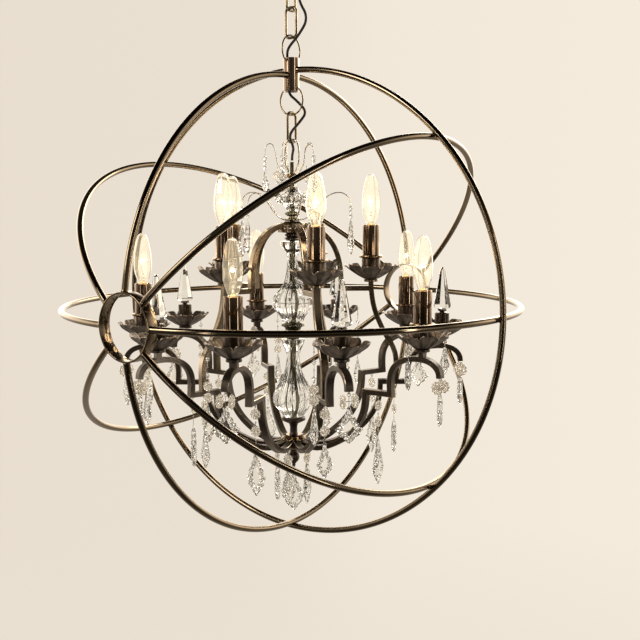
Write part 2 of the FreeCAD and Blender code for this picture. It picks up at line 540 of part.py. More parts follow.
# ---- hanging crystals ----
def leaf(w, h, t, z_top):
    """Flat kite-shaped drop with bevelled faces, hanging from z_top, width along Y."""
    prof = [(0.10, 0.0), (0.26, 0.07), (0.30, 0.16), (0.55, 0.34), (0.92, 0.52), (1.0, 0.64), (0.86, 0.76), (0.52, 0.90), (0.10, 1.0)]
    out = [(u * w / 2, z_top - v * h) for u, v in prof] + [(-u * w / 2, z_top - v * h) for u, v in reversed(prof)]
    cz = z_top - 0.58 * h

    def wire(x, k):
        pts = [V(x, u * k, cz + (z - cz) * k) for u, z in out]
        return Part.makePolygon(pts + [pts[0]])
    return solid(Part.makeLoft([wire(-t / 2, 0.62), wire(0.0, 1.0), wire(t / 2, 0.62)], True, True))


def rosette(d, t, z):
    """Round faceted button, facing along X."""
    def wire(x, r):
        pts = [V(x, r * math.cos(math.pi * (i + 0.5) / 6), z + r * math.sin(math.pi * (i + 0.5) / 6)) for i in range(12)]
        return Part.makePolygon(pts + [pts[0]])
    return solid(Part.makeLoft([wire(-t / 2, d * 0.27), wire(0, d / 2), wire(t / 2, d * 0.27)], True, True))


# outer pendants: hook, rosette, drop; hung in the eye at each arm's end
PAIR_D, PAIR_T, PAIR_Y, PAIR_Z = 24.0, 9.0, 9.8, OUT_Z - 13.2   # the two buttons
DROP_TOP = OUT_Z - 21.0
DROP_TURN_CANDLE, DROP_TURN_SPIKE = 28.0, -14.0
for i, az in enumerate(sorted(CANDLE_AZ + SPIKE_AZ)):
    big = az in CANDLE_AZ
    hw = 0.55
    hook = Part.makeTorus(2.6, hw, V(0, 0, OUT_Z - 3.0), V(1, 0, 0))
    # two buttons side by side on a cross pin, facing along the swing, above one broad drop
    pair = []
    for side in (-1, 1):
        ros = rosette(PAIR_D, PAIR_T, 0)
        ros.rotate(V(0, 0, 0), V(0, 0, 1), 90)
        ros.translate(V(0, PAIR_Y * side, PAIR_Z))
        pair.append(ros)
    cross = Part.makeCylinder(0.6, 2 * PAIR_Y, V(0, -PAIR_Y, PAIR_Z), V(0, 1, 0))
    stem = Part.makeCylinder(0.6, OUT_Z - 5.4 - DROP_TOP + 1.5, V(0, 0, DROP_TOP - 1.5))
    drop = leaf(46.0, 58.0, 10.0, DROP_TOP)
    drop.rotate(V(0, 0, 0), V(0, 0, 1), DROP_TURN_CANDLE if big else DROP_TURN_SPIKE)
    p = hook.fuse(stem).fuse(cross).fuse(pair[0]).fuse(pair[1]).fuse(drop).removeSplitter()
    p = solid(p)
    save("pendant_%d" % (i + 1), put(p, az, OUT_R, 0))

# strings inside: one under each arm's step, one from each lower cup's rim, five around the lower hub
strings = []
for i, az in enumerate(sorted(CANDLE_AZ + SPIKE_AZ)):
    z0 = STEP_Z - T - 4.2
    # wire, button, wire, button, wire, drop
    s = Part.makeCylinder(0.5, 7.5, V(0, 0, z0 - 5.7)).fuse(rosette(19.0, 8.0, z0 - 13.9)).fuse(Part.makeCylinder(0.5, 13.0, V(0, 0, z0 - 34.7))).fuse(rosette(19.0, 8.0, z0 - 42.2))
    if az in CANDLE_AZ:
        s = s.fuse(Part.makeCylinder(0.5, 26.0, V(0, 0, z0 - 76.2))).fuse(leaf(36.0, 80.0, 10.0, z0 - 74.7))
    else:
        s = s.fuse(Part.makeCylinder(0.5, 13.0, V(0, 0, z0 - 63.2))).fuse(leaf(31.0, 62.0, 9.5, z0 - 61.7))
    s = s.removeSplitter()
    strings.append(put(solid(s) if len(s.Solids) == 1 else s, az, STEP_R, 0))
# one string from the rim of each lower cup, on the side of the falling azimuth
RIM_Y, RIM_Z = -44.4, LOWER_Z + 26.0
for az in sorted(CANDLE_AZ + SPIKE_AZ):
    if az < 90:
        s = Part.makeCylinder(0.5, 42.0, V(0, 0, RIM_Z - 39.0)).fuse(rosette(23.0, 8.0, RIM_Z - 22.0)).fuse(leaf(36.0, 50.0, 9.5, RIM_Z - 37.0))
    else:
        s = Part.makeCylinder(0.5, 103.0, V(0, 0, RIM_Z - 100.0)).fuse(rosette(7.6, 6.5, RIM_Z - 27.5)).fuse(rosette(7.6, 6.5, RIM_Z - 52.5))
        s = s.fuse(rosette(17.0, 8.0, RIM_Z - 69.0)).fuse(rosette(17.0, 8.0, RIM_Z - 87.0)).fuse(leaf(18.0, 60.0, 9.0, RIM_Z - 98.0))
    s = s.removeSplitter()
    s.translate(V(LOWER_R, RIM_Y, 0))
    strings.append(at(s, az))
for az in CANDLE_AZ:
    z0 = Z(-.6525) + 1.5
    s = Part.makeCylinder(0.6, 8.0, V(0, 0, z0 - 7.0)).fuse(rosette(18.0, 8.0, z0 - 14.5)).fuse(Part.makeCylinder(0.5, 7.0, V(0, 0, z0 - 29.0)))
    s = s.fuse(leaf(30.0, 74.0, 10.0, z0 - 28.0)).removeSplitter()
    s.translate(V(30.0, 0, 0))
    brk = Part.makeBox(13.2, 2.0, 1.6, V(17.6, -1.0, z0 - 0.2))
    s = s.fuse(brk).removeSplitter()
    s.rotate(V(0, 0, 0), V(0, 0, 1), az + 0.0)
    strings.append(s)
save("inner_strings", [q for s in strings for q in s.Solids])
# the largest drop, on its own hook under the finial
fz = Z(-.7410)
eye_f = Part.makeTorus(2.6, 0.55, V(0, 0, fz - 5.0), V(1, 0, 0))
big_drop = leaf(40.0, 72.0, 11.0, fz - 11.0)
big_drop.rotate(V(0, 0, 0), V(0, 0, 1), -52.0)
p = eye_f.fuse(Part.makeCylinder(0.6, 5.0, V(0, 0, fz - 12.4))).fuse(big_drop).removeSplitter()
save("centre_pendant", solid(p))

# ---- crown wires and their crystals ----
wires, crystals = [], []
for az in CANDLE_AZ:
    b = Part.BSplineCurve()
    b.interpolate([V(9.8, 0, CROWN_Z0 + 4.2), V(16.5, 0, -391), V(25.2, 0, -376), V(28.5, 0, -358), V(32.5, 0, -345.5), V(38.5, 0, -341.6), V(44.2, 0, -345.0), V(46.8, 0, -353.0), V(47.2, 0, -361.0)])
    wr = sweep(Part.Wire([b.toShape()]), 0.8, V(9.8, 0, CROWN_Z0 + 4.2), b.tangent(b.FirstParameter)[0])
    wires.append(at(wr, az))
    s = leaf(16.0, 36.0, 9.0, -393.0).fuse(rosette(8.0, 6.5, -367.0)).fuse(rosette(8.0, 6.5, -375.0)).fuse(rosette(8.0, 6.5, -383.0))
    s = s.fuse(Part.makeCylinder(0.5, 36.0, V(0, 0, -395.0))).removeSplitter()
    crystals.append(put(s, az, 47.2, 0))
for az in SPIKE_AZ:
    b = Part.BSplineCurve()
    b.interpolate([V(17.0, 0, -474.2), V(31.0, 0, -467.5), V(43.0, 0, -455.0), V(58.0, 0, -437.0), V(78.0, 0, -427.0), V(94.0, 0, -430.0), V(102.0, 0, -440.0), V(103.6, 0, -448.0)])
    wr = sweep(Part.Wire([b.toShape()]), 0.9, V(17.0, 0, -474.2), b.tangent(b.FirstParameter)[0])
    wires.append(at(wr, az))
    s = leaf(17.0, 58.0, 9.0, -482.0).fuse(rosette(7.0, 6.0, -454.0)).fuse(rosette(7.0, 6.0, -462.0)).fuse(rosette(7.0, 6.0, -470.0))
    s = s.fuse(Part.makeCylinder(0.5, 38.0, V(0, 0, -485.0))).removeSplitter()
    crystals.append(put(s, az, 103.6, 0))
save("crown_wires", wires)
save("crown_crystals", [q for s in crystals for q in s.Solids])
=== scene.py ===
import bmesh
import bpy
import math
import random

import numpy as np
from mathutils import Matrix, Vector


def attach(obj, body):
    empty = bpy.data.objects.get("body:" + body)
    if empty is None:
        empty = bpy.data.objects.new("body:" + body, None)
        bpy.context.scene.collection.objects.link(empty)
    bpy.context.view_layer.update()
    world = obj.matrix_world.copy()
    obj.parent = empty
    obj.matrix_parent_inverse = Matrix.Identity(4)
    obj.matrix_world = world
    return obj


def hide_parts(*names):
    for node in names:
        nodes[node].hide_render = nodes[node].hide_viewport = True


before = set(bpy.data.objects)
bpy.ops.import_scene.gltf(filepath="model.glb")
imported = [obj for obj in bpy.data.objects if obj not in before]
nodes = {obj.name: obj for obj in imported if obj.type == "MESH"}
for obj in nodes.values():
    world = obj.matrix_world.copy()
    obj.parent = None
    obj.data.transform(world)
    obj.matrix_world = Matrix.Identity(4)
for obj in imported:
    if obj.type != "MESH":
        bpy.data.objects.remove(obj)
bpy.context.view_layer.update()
random.seed(11)

# ------------------------------------------------------------------ camera
TH = math.radians(37.87)
CA, SA = math.cos(TH), math.sin(TH)


def turned(x, y, z):
    """From the camera's own frame to the object's."""
    return Vector((x * CA - y * SA, x * SA + y * CA, z))


right = turned(0.99957509, -0.02898436, -0.00309033)
up = turned(0.00650636, 0.11851617, 0.99293081)
ahead = turned(0.02841321, 0.992529, -0.11865439)
place = turned(0.0, -4.2410016 * 0.4, 0.43607524 * 0.4 - 0.625)
lens = bpy.data.cameras.new("Camera")
lens.sensor_width = 36.0
lens.lens = 952.854 / 640.0 * 36.0
lens.clip_start, lens.clip_end = 0.05, 60.0
camera = bpy.data.objects.new("Camera", lens)
bpy.context.scene.collection.objects.link(camera)
camera.matrix_world = Matrix((
    (right.x, up.x, -ahead.x, place.x),
    (right.y, up.y, -ahead.y, place.y),
    (right.z, up.z, -ahead.z, place.z),
    (0, 0, 0, 1)))
bpy.context.scene.camera = camera

# ------------------------------------------------------------------ dimensions (millimetres, as in the part)
ORB_R, ROD_R, CROSS_R, ZC = 400.0, 5.25, 409.0, -625.0
COLLAR_R, COLLAR_WALL, COLLAR_Y0, COLLAR_Y1 = 52.3, 3.0, 382.8, 402.6
HUB_R = 13.7
LOWER_R, LOWER_Z = 267.0, -684.5
UPPER_R, UPPER_Z = 139.4, -581.8
CANDLE_AZ = [0.0, 72.0, 144.0, 216.0, 288.0]
SPIKE_AZ = [36.0, 108.0, 180.0, 252.0, 324.0]
ALL_AZ = sorted(CANDLE_AZ + SPIKE_AZ)
STEP_Z = -764.6
ARM_W, ARM_T = 13.0, 9.0
OUT_R, OUT_Z = 300.6, -729.4
STEP_R = 182.0


def Z(q):
    return ZC + ORB_R * q


# ------------------------------------------------------------------ materials
def new_mat(name):
    m = bpy.data.materials.new(name)
    m.use_nodes = True
    nt = m.node_tree
    nt.nodes.clear()
    out = nt.nodes.new("ShaderNodeOutputMaterial")
    return m, nt, out


def add(nt, kind, **values):
    n = nt.nodes.new(kind)
    for k, v in values.items():
        if k in n.inputs:
            n.inputs[k].default_value = v
        else:
            setattr(n, k, v)
    return n


def ramp(nt, fac, stops):
    n = nt.nodes.new("ShaderNodeValToRGB")
    nt.links.new(fac, n.inputs["Fac"])
    el = n.color_ramp.elements
    while len(el) > 1:
        el.remove(el[-1])
    el[0].position, el[0].color = stops[0][0], tuple(stops[0][1]) + (1.0,)
    for p, c in stops[1:]:
        e = el.new(p)
        e.color = tuple(c) + (1.0,)
    return n.outputs["Color"]


def grey(v):
    return (v, v, v)


def metal(name, dark, light, rough, metallic=1.0, patch=14.0, fine=420.0, bump=0.00012, streak=None, coat=0.0):
    """Aged metal: two tones in soft patches, roughness that varies with them, and a fine tooled bump."""
    m, nt, out = new_mat(name)
    p = add(nt, "ShaderNodeBsdfPrincipled", Metallic=metallic)
    if coat:
        p.inputs["Coat Weight"].default_value = coat
        p.inputs["Coat Roughness"].default_value = 0.12
    tc = add(nt, "ShaderNodeTexCoord")
    n1 = add(nt, "ShaderNodeTexNoise", Scale=patch, Detail=5.0, Roughness=0.62)
    nt.links.new(tc.outputs["Object"], n1.inputs["Vector"])
    n2 = add(nt, "ShaderNodeTexNoise", Scale=fine, Detail=3.0, Roughness=0.55)
    nt.links.new(tc.outputs["Object"], n2.inputs["Vector"])
    mixed = n1.outputs["Fac"]
    if streak:
        mp = add(nt, "ShaderNodeMapping")
        mp.inputs["Scale"].default_value = streak
        nt.links.new(tc.outputs["Object"], mp.inputs["Vector"])
        n3 = add(nt, "ShaderNodeTexNoise", Scale=1.0, Detail=4.0, Roughness=0.6)
        nt.links.new(mp.outputs["Vector"], n3.inputs["Vector"])
        mx = add(nt, "ShaderNodeMath", operation="MULTIPLY_ADD")
        mx.inputs[1].default_value = 0.65
        nt.links.new(n3.outputs["Fac"], mx.inputs[0])
        half = add(nt, "ShaderNodeMath", operation="MULTIPLY")
        half.inputs[1].default_value = 0.35
        nt.links.new(n1.outputs["Fac"], half.inputs[0])
        nt.links.new(half.outputs[0], mx.inputs[2])
        mixed = mx.outputs[0]
    col = ramp(nt, mixed, [(0.34, dark), (0.52, tuple(0.5 * (a + b) for a, b in zip(dark, light))), (0.68, light)])
    nt.links.new(col, p.inputs["Base Color"])
    r = ramp(nt, n2.outputs["Fac"], [(0.30, grey(rough * 0.90)), (0.70, grey(rough * 1.12))])
    rb = add(nt, "ShaderNodeMix", data_type="FLOAT")
    rb.inputs["Factor"].default_value = 0.45
    r2 = ramp(nt, n1.outputs["Fac"], [(0.36, grey(rough * 1.14)), (0.64, grey(rough * 0.88))])
    nt.links.new(r, rb.inputs["A"])
    nt.links.new(r2, rb.inputs["B"])
    nt.links.new(rb.outputs["Result"], p.inputs["Roughness"])
    b = add(nt, "ShaderNodeBump", Strength=0.35, Distance=bump)
    nt.links.new(n2.outputs["Fac"], b.inputs["Height"])
    nt.links.new(b.outputs["Normal"], p.inputs["Normal"])
    nt.links.new(p.outputs["BSDF"], out.inputs["Surface"])
    return m


def glass(name, tint, rough=0.0, ior=1.52, wave=60.0, depth=0.00015, glow=0.0, glow_colour=(1.0, 0.86, 0.62), trans=1.0):
    """Clear glass with the faint waviness of a cast or blown surface."""
    m, nt, out = new_mat(name)
    p = add(nt, "ShaderNodeBsdfPrincipled", Roughness=rough, IOR=ior)
    p.inputs["Transmission Weight"].default_value = trans
    tc = add(nt, "ShaderNodeTexCoord")
    n = add(nt, "ShaderNodeTexNoise", Scale=wave, Detail=2.0, Roughness=0.5)
    nt.links.new(tc.outputs["Object"], n.inputs["Vector"])
    c = ramp(nt, n.outputs["Fac"], [(0.3, tuple(0.965 * t for t in tint)), (0.7, tint)])
    nt.links.new(c, p.inputs["Base Color"])
    b = add(nt, "ShaderNodeBump", Strength=0.3, Distance=depth)
    nt.links.new(n.outputs["Fac"], b.inputs["Height"])
    nt.links.new(b.outputs["Normal"], p.inputs["Normal"])
    if glow:
        p.inputs["Emission Color"].default_value = (*glow_colour, 1.0)
        p.inputs["Emission Strength"].default_value = glow
    nt.links.new(p.outputs["BSDF"], out.inputs["Surface"])
    return m


def light_mat(name, colour, strength):
    m, nt, out = new_mat(name)
    tc = add(nt, "ShaderNodeTexCoord")
    n = add(nt, "ShaderNodeTexNoise", Scale=300.0, Detail=1.0)
    nt.links.new(tc.outputs["Object"], n.inputs["Vector"])
    c = ramp(nt, n.outputs["Fac"], [(0.3, tuple(0.9 * v for v in colour)), (0.7, colour)])
    e = add(nt, "ShaderNodeEmission", Strength=strength)
    nt.links.new(c, e.inputs["Color"])
    nt.links.new(e.outputs["Emission"], out.inputs["Surface"])
    return m


def cloth_cord(name):
    """Cord covered in a fine dark braid."""
    m, nt, out = new_mat(name)
    p = add(nt, "ShaderNodeBsdfPrincipled", Roughness=0.5)
    tc = add(nt, "ShaderNodeTexCoord")
    w1 = add(nt, "ShaderNodeTexWave", Scale=190.0, Distortion=1.5, Detail=2.0, bands_direction="DIAGONAL")
    nt.links.new(tc.outputs["Object"], w1.inputs["Vector"])
    n = add(nt, "ShaderNodeTexNoise", Scale=700.0, Detail=3.0)
    nt.links.new(tc.outputs["Object"], n.inputs["Vector"])
    c = ramp(nt, w1.outputs["Fac"], [(0.2, (0.010, 0.007, 0.005)), (0.8, (0.030, 0.022, 0.016))])
    nt.links.new(c, p.inputs["Base Color"])
    r = ramp(nt, n.outputs["Fac"], [(0.3, grey(0.38)), (0.7, grey(0.6))])
    nt.links.new(r, p.inputs["Roughness"])
    b = add(nt, "ShaderNodeBump", Strength=0.5, Distance=0.0003)
    nt.links.new(w1.outputs["Fac"], b.inputs["Height"])
    nt.links.new(b.outputs["Normal"], p.inputs["Normal"])
    nt.links.new(p.outputs["BSDF"], out.inputs["Surface"])
    return m


def ceramic(name, a, b_, rough):
    m, nt, out = new_mat(name)
    p = add(nt, "ShaderNodeBsdfPrincipled", Roughness=rough)
    tc = add(nt, "ShaderNodeTexCoord")
    n = add(nt, "ShaderNodeTexNoise", Scale=90.0, Detail=4.0)
    nt.links.new(tc.outputs["Object"], n.inputs["Vector"])
    nt.links.new(ramp(nt, n.outputs["Fac"], [(0.3, a), (0.7, b_)]), p.inputs["Base Color"])
    bp = add(nt, "ShaderNodeBump", Strength=0.2, Distance=0.0002)
    nt.links.new(n.outputs["Fac"], bp.inputs["Height"])
    nt.links.new(bp.outputs["Normal"], p.inputs["Normal"])
    nt.links.new(p.outputs["BSDF"], out.inputs["Surface"])
    return m


BRONZE = metal("bronze_rod", (0.215, 0.165, 0.108), (0.285, 0.222, 0.150), 0.115, patch=4.0, fine=260.0, bump=0.000004)
BRONZE_RIM = metal("bronze_rim", (0.17, 0.115, 0.068), (0.36, 0.255, 0.155), 0.18, patch=22.0, bump=0.00002)
SLEEVE = metal("bronze_sleeve", (0.085, 0.052, 0.033), (0.42, 0.31, 0.215), 0.08, patch=30.0, streak=(210.0, 210.0, 5.0), bump=0.00001)
IRON = metal("arm_iron", (0.075, 0.060, 0.046), (0.175, 0.142, 0.110), 0.34, metallic=0.88, patch=20.0, fine=900.0, bump=0.00008)
DRUM = metal("drum_iron", (0.035, 0.024, 0.017), (0.095, 0.068, 0.048), 0.28, metallic=0.9, patch=30.0, fine=900.0, bump=0.00005)
# Lighter copy of the arm iron for the chamfer faces of the bars: a painted highlight standing in for glints along the
# edges.
IRON_EDGE_HIGHLIGHT = metal("arm_edge_highlight", (0.20, 0.155, 0.105), (0.44, 0.345, 0.235), 0.24, metallic=0.95, patch=38.0, fine=700.0, bump=0.00004)
ARM_UP = metal("arm_polished", (0.16, 0.120, 0.078), (0.40, 0.315, 0.22), 0.18, metallic=0.95, patch=12.0, fine=600.0, bump=0.00003)
PETAL = metal("petal_iron", (0.105, 0.085, 0.070), (0.27, 0.222, 0.186), 0.38, metallic=0.85, patch=70.0, fine=700.0, bump=0.0002)
# Lighter copy of the petal iron for the cut rim of each cup: a painted highlight standing in for glints on the rims.
PETAL_RIM_HIGHLIGHT = metal("petal_rim_highlight", (0.20, 0.155, 0.12), (0.42, 0.335, 0.25), 0.30, metallic=0.9, patch=60.0, bump=0.0001)
SPOOL = metal("spool_metal", (0.095, 0.085, 0.055), (0.22, 0.20, 0.13), 0.24, metallic=0.95, patch=40.0, bump=0.00004)
CHAIN = metal("chain_bronze", (0.20, 0.150, 0.095), (0.42, 0.33, 0.21), 0.17, patch=60.0, bump=0.00002)
STEEL = metal("zinc_steel", (0.42, 0.42, 0.40), (0.62, 0.61, 0.58), 0.32, patch=30.0)
BRIGHT = metal("bright_wire", (0.60, 0.55, 0.46), (0.90, 0.85, 0.75), 0.12, patch=120.0, fine=900.0, bump=0.00002)
BRASS = metal("lamp_brass", (0.42, 0.30, 0.13), (0.70, 0.54, 0.28), 0.28, patch=90.0)
CRYSTAL = glass("cut_crystal", (1.0, 0.985, 0.945), rough=0.0, ior=1.62, wave=40.0, depth=0.00005)
# The cut buttons carry a faint warm painted glow (emission 0.03) that brightens them as if lit; they are no lamp.
FLOWER = glass("cut_buttons", (1.0, 0.945, 0.85), rough=0.0, ior=1.62, wave=160.0, depth=0.0001, trans=0.86, glow=0.03, glow_colour=(1.0, 0.88, 0.70))
BALUSTER = glass("cast_glass", (1.0, 0.99, 0.955), rough=0.01, ior=1.46, wave=70.0, depth=0.0003)
LAMP_GLASS = glass("lamp_glass", (1.0, 0.985, 0.93), rough=0.0, ior=1.45, wave=30.0, depth=0.00005, glow=0.07, glow_colour=(1.0, 0.83, 0.56))
FILAMENT = light_mat("filament_glow", (1.0, 0.80, 0.50), 40.0)
HEART = light_mat("filament_heart", (1.0, 0.86, 0.62), 12.0)
CORD = cloth_cord("cord_braid")
BUSH = ceramic("bush_nylon", (0.018, 0.016, 0.014), (0.035, 0.031, 0.027), 0.45)
PORCELAIN = ceramic("lampholder_insulator", (0.62, 0.58, 0.50), (0.74, 0.70, 0.62), 0.35)


# ------------------------------------------------------------------ mesh building
class Build:
    """Gathers faces, in millimetres, for one piece."""

    def __init__(self):
        self.v, self.f, self.mat, self.flat, self.n = [], [], [], [], 0

    def add(self, part, mat=0, flat=False, M=None):
        verts, faces = part
        verts = np.asarray(verts, float).reshape(-1, 3)
        if M is not None:
            verts = verts @ M[:3, :3].T + M[:3, 3]
        self.v.append(verts)
        k = self.n
        mats = mat if isinstance(mat, (list, tuple)) else [mat] * len(faces)
        for f, m in zip(faces, mats):
            self.f.append(tuple(i + k for i in f))
            self.mat.append(m)
            self.flat.append(flat)
        self.n += len(verts)
        return self

    def piece(self, name, materials, body, replaces=(), slot=None, sharp=None, fix=True):
        me = bpy.data.meshes.new(name)
        me.from_pydata((np.vstack(self.v) * 0.001).tolist(), [], self.f)
        me.polygons.foreach_set("use_smooth", [not x for x in self.flat])
        me.polygons.foreach_set("material_index", self.mat)
        for m in materials:
            me.materials.append(m)
        if fix:
            bm = bmesh.new()
            bm.from_mesh(me)
            bmesh.ops.recalc_face_normals(bm, faces=bm.faces)
            bm.to_mesh(me)
            bm.free()
        if sharp:
            me.set_sharp_from_angle(angle=math.radians(sharp))
        me.update()
        o = bpy.data.objects.new(name, me)
        bpy.context.scene.collection.objects.link(o)
        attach(o, body)
        if replaces:
            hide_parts(*replaces)
        return o


def T(x=0.0, y=0.0, z=0.0):
    m = np.eye(4)
    m[:3, 3] = (x, y, z)
    return m


def Rz(deg):
    a = math.radians(deg)
    m = np.eye(4)
    m[0, 0], m[0, 1], m[1, 0], m[1, 1] = math.cos(a), -math.sin(a), math.sin(a), math.cos(a)
    return m


def Rx(deg):
    a = math.radians(deg)
    m = np.eye(4)
    m[1, 1], m[1, 2], m[2, 1], m[2, 2] = math.cos(a), -math.sin(a), math.sin(a), math.cos(a)
    return m


def Ry(deg):
    a = math.radians(deg)
    m = np.eye(4)
    m[0, 0], m[0, 2], m[2, 0], m[2, 2] = math.cos(a), math.sin(a), -math.sin(a), math.cos(a)
    return m


def put(az, r, z):
    return Rz(az) @ T(r, 0, z)


def lathe(profile, n=40, scale=None, loop=False):
    """Surface turned about Z through (r, z) points. scale(angle, k) may vary the radius; loop closes the outline."""
    V, F, rows = [], [], []
    for k, (r, z) in enumerate(profile):
        if r < 1e-6:
            rows.append([len(V)])
            V.append((0.0, 0.0, z))
            continue
        row = []
        for i in range(n):
            a = 2 * math.pi * i / n
            s = scale(a, k) if scale else 1.0
            row.append(len(V))
            V.append((r * s * math.cos(a), r * s * math.sin(a), z))
        rows.append(row)
    pairs = list(zip(rows, rows[1:])) + ([(rows[-1], rows[0])] if loop else [])
    for A, B in pairs:
        if len(A) == 1 and len(B) == 1:
            continue
        for i in range(n):
            j = (i + 1) % n
            if len(A) == 1:
                F.append((A[0], B[j], B[i]))
            elif len(B) == 1:
                F.append((A[i], A[j], B[0]))
            else:
                F.append((A[i], A[j], B[j], B[i]))
    return V, F


def fair(points, steps=6):
    """Points along a smooth curve through the given ones (natural cubic, by chord length)."""
    P = np.asarray(points, float)
    n = len(P)
    if n < 3:
        return P
    h = np.linalg.norm(np.diff(P, axis=0), axis=1)
    A = np.zeros((n, n))
    R = np.zeros((n, P.shape[1]))
    A[0, 0] = A[-1, -1] = 1.0
    for i in range(1, n - 1):
        A[i, i - 1], A[i, i], A[i, i + 1] = h[i - 1], 2 * (h[i - 1] + h[i]), h[i]
        R[i] = 6 * ((P[i + 1] - P[i]) / h[i] - (P[i] - P[i - 1]) / h[i - 1])
    M = np.linalg.solve(A, R)
    out = []
    for i in range(n - 1):
        for k in range(steps):
            t = h[i] * k / steps
            a, b = h[i] - t, t
            out.append((M[i] * a ** 3 + M[i + 1] * b ** 3) / (6 * h[i]) + (P[i] / h[i] - M[i] * h[i] / 6) * a + (P[i + 1] / h[i] - M[i + 1] * h[i] / 6) * b)
    out.append(P[-1])
    return np.array(out)


def tube(points, r, n=14, closed=False, caps=True):
    """Round tube along points; r is one radius or one for each point."""
    P = np.asarray(points, float)
    m = len(P)
    rad = np.full(m, r, float) if np.isscalar(r) else np.asarray(r, float)
    if closed:
        tan = np.roll(P, -1, 0) - np.roll(P, 1, 0)
    else:
        tan = np.gradient(P, axis=0)
    tan /= np.linalg.norm(tan, axis=1)[:, None]
    ref = np.array([0, 0, 1.0]) if abs(tan[0][2]) < 0.9 else np.array([1.0, 0, 0])
    u = np.cross(ref, tan[0])
    u /= np.linalg.norm(u)
    U = [u]
    for i in range(1, m):
        w = U[-1] - tan[i] * (U[-1] @ tan[i])
        U.append(w / np.linalg.norm(w))
    U = np.array(U)
    if closed:
        # spread the leftover turn along the loop
        w = U[-1] - tan[0] * (U[-1] @ tan[0])
        w /= np.linalg.norm(w)
        ang = math.atan2(np.cross(w, U[0]) @ tan[0], w @ U[0])
        for i in range(m):
            a = ang * i / m
            v = np.cross(tan[i], U[i])
            U[i] = U[i] * math.cos(a) + v * math.sin(a)
    Wv = np.cross(tan, U)
    V, F = [], []
    for i in range(m):
        for k in range(n):
            a = 2 * math.pi * k / n
            V.append(P[i] + rad[i] * (math.cos(a) * U[i] + math.sin(a) * Wv[i]))
    for i in range(m if closed else m - 1):
        j = (i + 1) % m
        for k in range(n):
            q = (k + 1) % n
            F.append((i * n + k, i * n + q, j * n + q, j * n + k))
    if not closed and caps:
        for end, d in ((0, -1.0), (m - 1, 1.0)):
            c = len(V)
            V.append(P[end] + tan[end] * d * rad[end] * 0.28)
            for k in range(n):
                q = (k + 1) % n
                F.append((end * n + q, end * n + k, c) if d < 0 else (end * n + k, end * n + q, c))
    return V, F


def bar(segments, half_t, half_w, ch=0.9, steps=5):
    """Flat bar in the (r, z) plane with mitred corners between its runs. Faces on the chamfers come second in the material list."""
    line, corner = [], []
    for i, s in enumerate(segments):
        pts = fair([(a, b) for a, b in s], steps) if len(s) > 2 else np.array(s, float)
        if len(s) == 2:
            pts = np.array([pts[0] + (pts[1] - pts[0]) * t for t in np.linspace(0, 1, 5)])
        if i:
            keep = [p for p in pts[1:] if np.linalg.norm(p - pts[0]) > half_t * 1.25 or p is pts[-1]]
            line += list(keep)
            corner += [False] * len(keep)
        else:
            line += list(pts)
            corner += [False] * len(pts)
        if i < len(segments) - 1:
            end = line[-1]
            while len(line) > 2 and np.linalg.norm(line[-2] - end) < half_t * 1.25:
                line.pop(-2)
                corner.pop(-2)
            corner[-1] = True
    P = np.array(line)
    m = len(P)
    d = np.diff(P, axis=0)
    d /= np.linalg.norm(d, axis=1)[:, None]
    prof = [(-half_w + ch, -half_t), (half_w - ch, -half_t), (half_w, -half_t + ch), (half_w, half_t - ch),
            (half_w - ch, half_t), (-half_w + ch, half_t), (-half_w, half_t - ch), (-half_w, -half_t + ch)]
    V, F, mats = [], [], []
    for i in range(m):
        a = d[i - 1] if i else d[0]
        b = d[i] if i < m - 1 else d[-1]
        t = a + b
        t /= np.linalg.norm(t)
        k = 1.0 / max(0.35, t @ a)
        nrm = np.array([-t[1], t[0]])
        for y, q in prof:
            V.append((P[i][0] + nrm[0] * q * k, y, P[i][1] + nrm[1] * q * k))
    for i in range(m - 1):
        for k in range(8):
            q = (k + 1) % 8
            F.append((i * 8 + k, i * 8 + q, (i + 1) * 8 + q, (i + 1) * 8 + k))
            mats.append(1 if k % 2 else 0)
    F.append(tuple(range(7, -1, -1)))
    F.append(tuple((m - 1) * 8 + k for k in range(8)))
    mats += [0, 0]
    return (V, F), mats


def block(x0, x1, y0, y1, z0, z1, ch=0.7):
    """Box with softened upright edges."""
    pts = [(x0 + ch, y0), (x1 - ch, y0), (x1, y0 + ch), (x1, y1 - ch), (x1 - ch, y1), (x0 + ch, y1), (x0, y1 - ch), (x0, y0 + ch)]
    V = [(x, y, z0) for x, y in pts] + [(x, y, z1) for x, y in pts]
    F = [tuple(range(7, -1, -1)), tuple(range(8, 16))]
    F += [(k, (k + 1) % 8, 8 + (k + 1) % 8, 8 + k) for k in range(8)]
    return V, F


def ball(r, x=0.0, y=0.0, z=0.0, n=12, squash=1.0):
    rows = max(5, n // 2)
    prof = [(r * math.sin(math.pi * k / rows), -r * squash * math.cos(math.pi * k / rows)) for k in range(rows + 1)]
    prof[0] = (0.0, prof[0][1])
    prof[-1] = (0.0, prof[-1][1])
    V, F = lathe(prof, n)
    return [(a + x, b + y, c + z) for a, b, c in V], F


def loop_wire(r, w, n=20, m=8):
    """Small round wire loop in the local YZ plane."""
    pts = [(0, r * math.cos(2 * math.pi * k / n), r * math.sin(2 * math.pi * k / n)) for k in range(n)]
    return tube(pts, w, m, closed=True)


# ------------------------------------------------------------------ crystals (hang down from z = 0, thickness along X, width along Y)
def stack(outlines):
    """Closed faceted solid through equal-length outlines, each a list of 3-D points."""
    n = len(outlines[0])
    V = [p for o in outlines for p in o]
    F = []
    for k in range(len(outlines) - 1):
        for i in range(n):
            j = (i + 1) % n
            a, b, c, d_ = k * n + i, k * n + j, (k + 1) * n + j, (k + 1) * n + i
            if (i + k) % 2:
                F += [(a, b, c), (a, c, d_)]
            else:
                F += [(a, b, d_), (b, c, d_)]
    F.append(tuple(range(n - 1, -1, -1)))
    F.append(tuple((len(outlines) - 1) * n + i for i in range(n)))
    return V, F


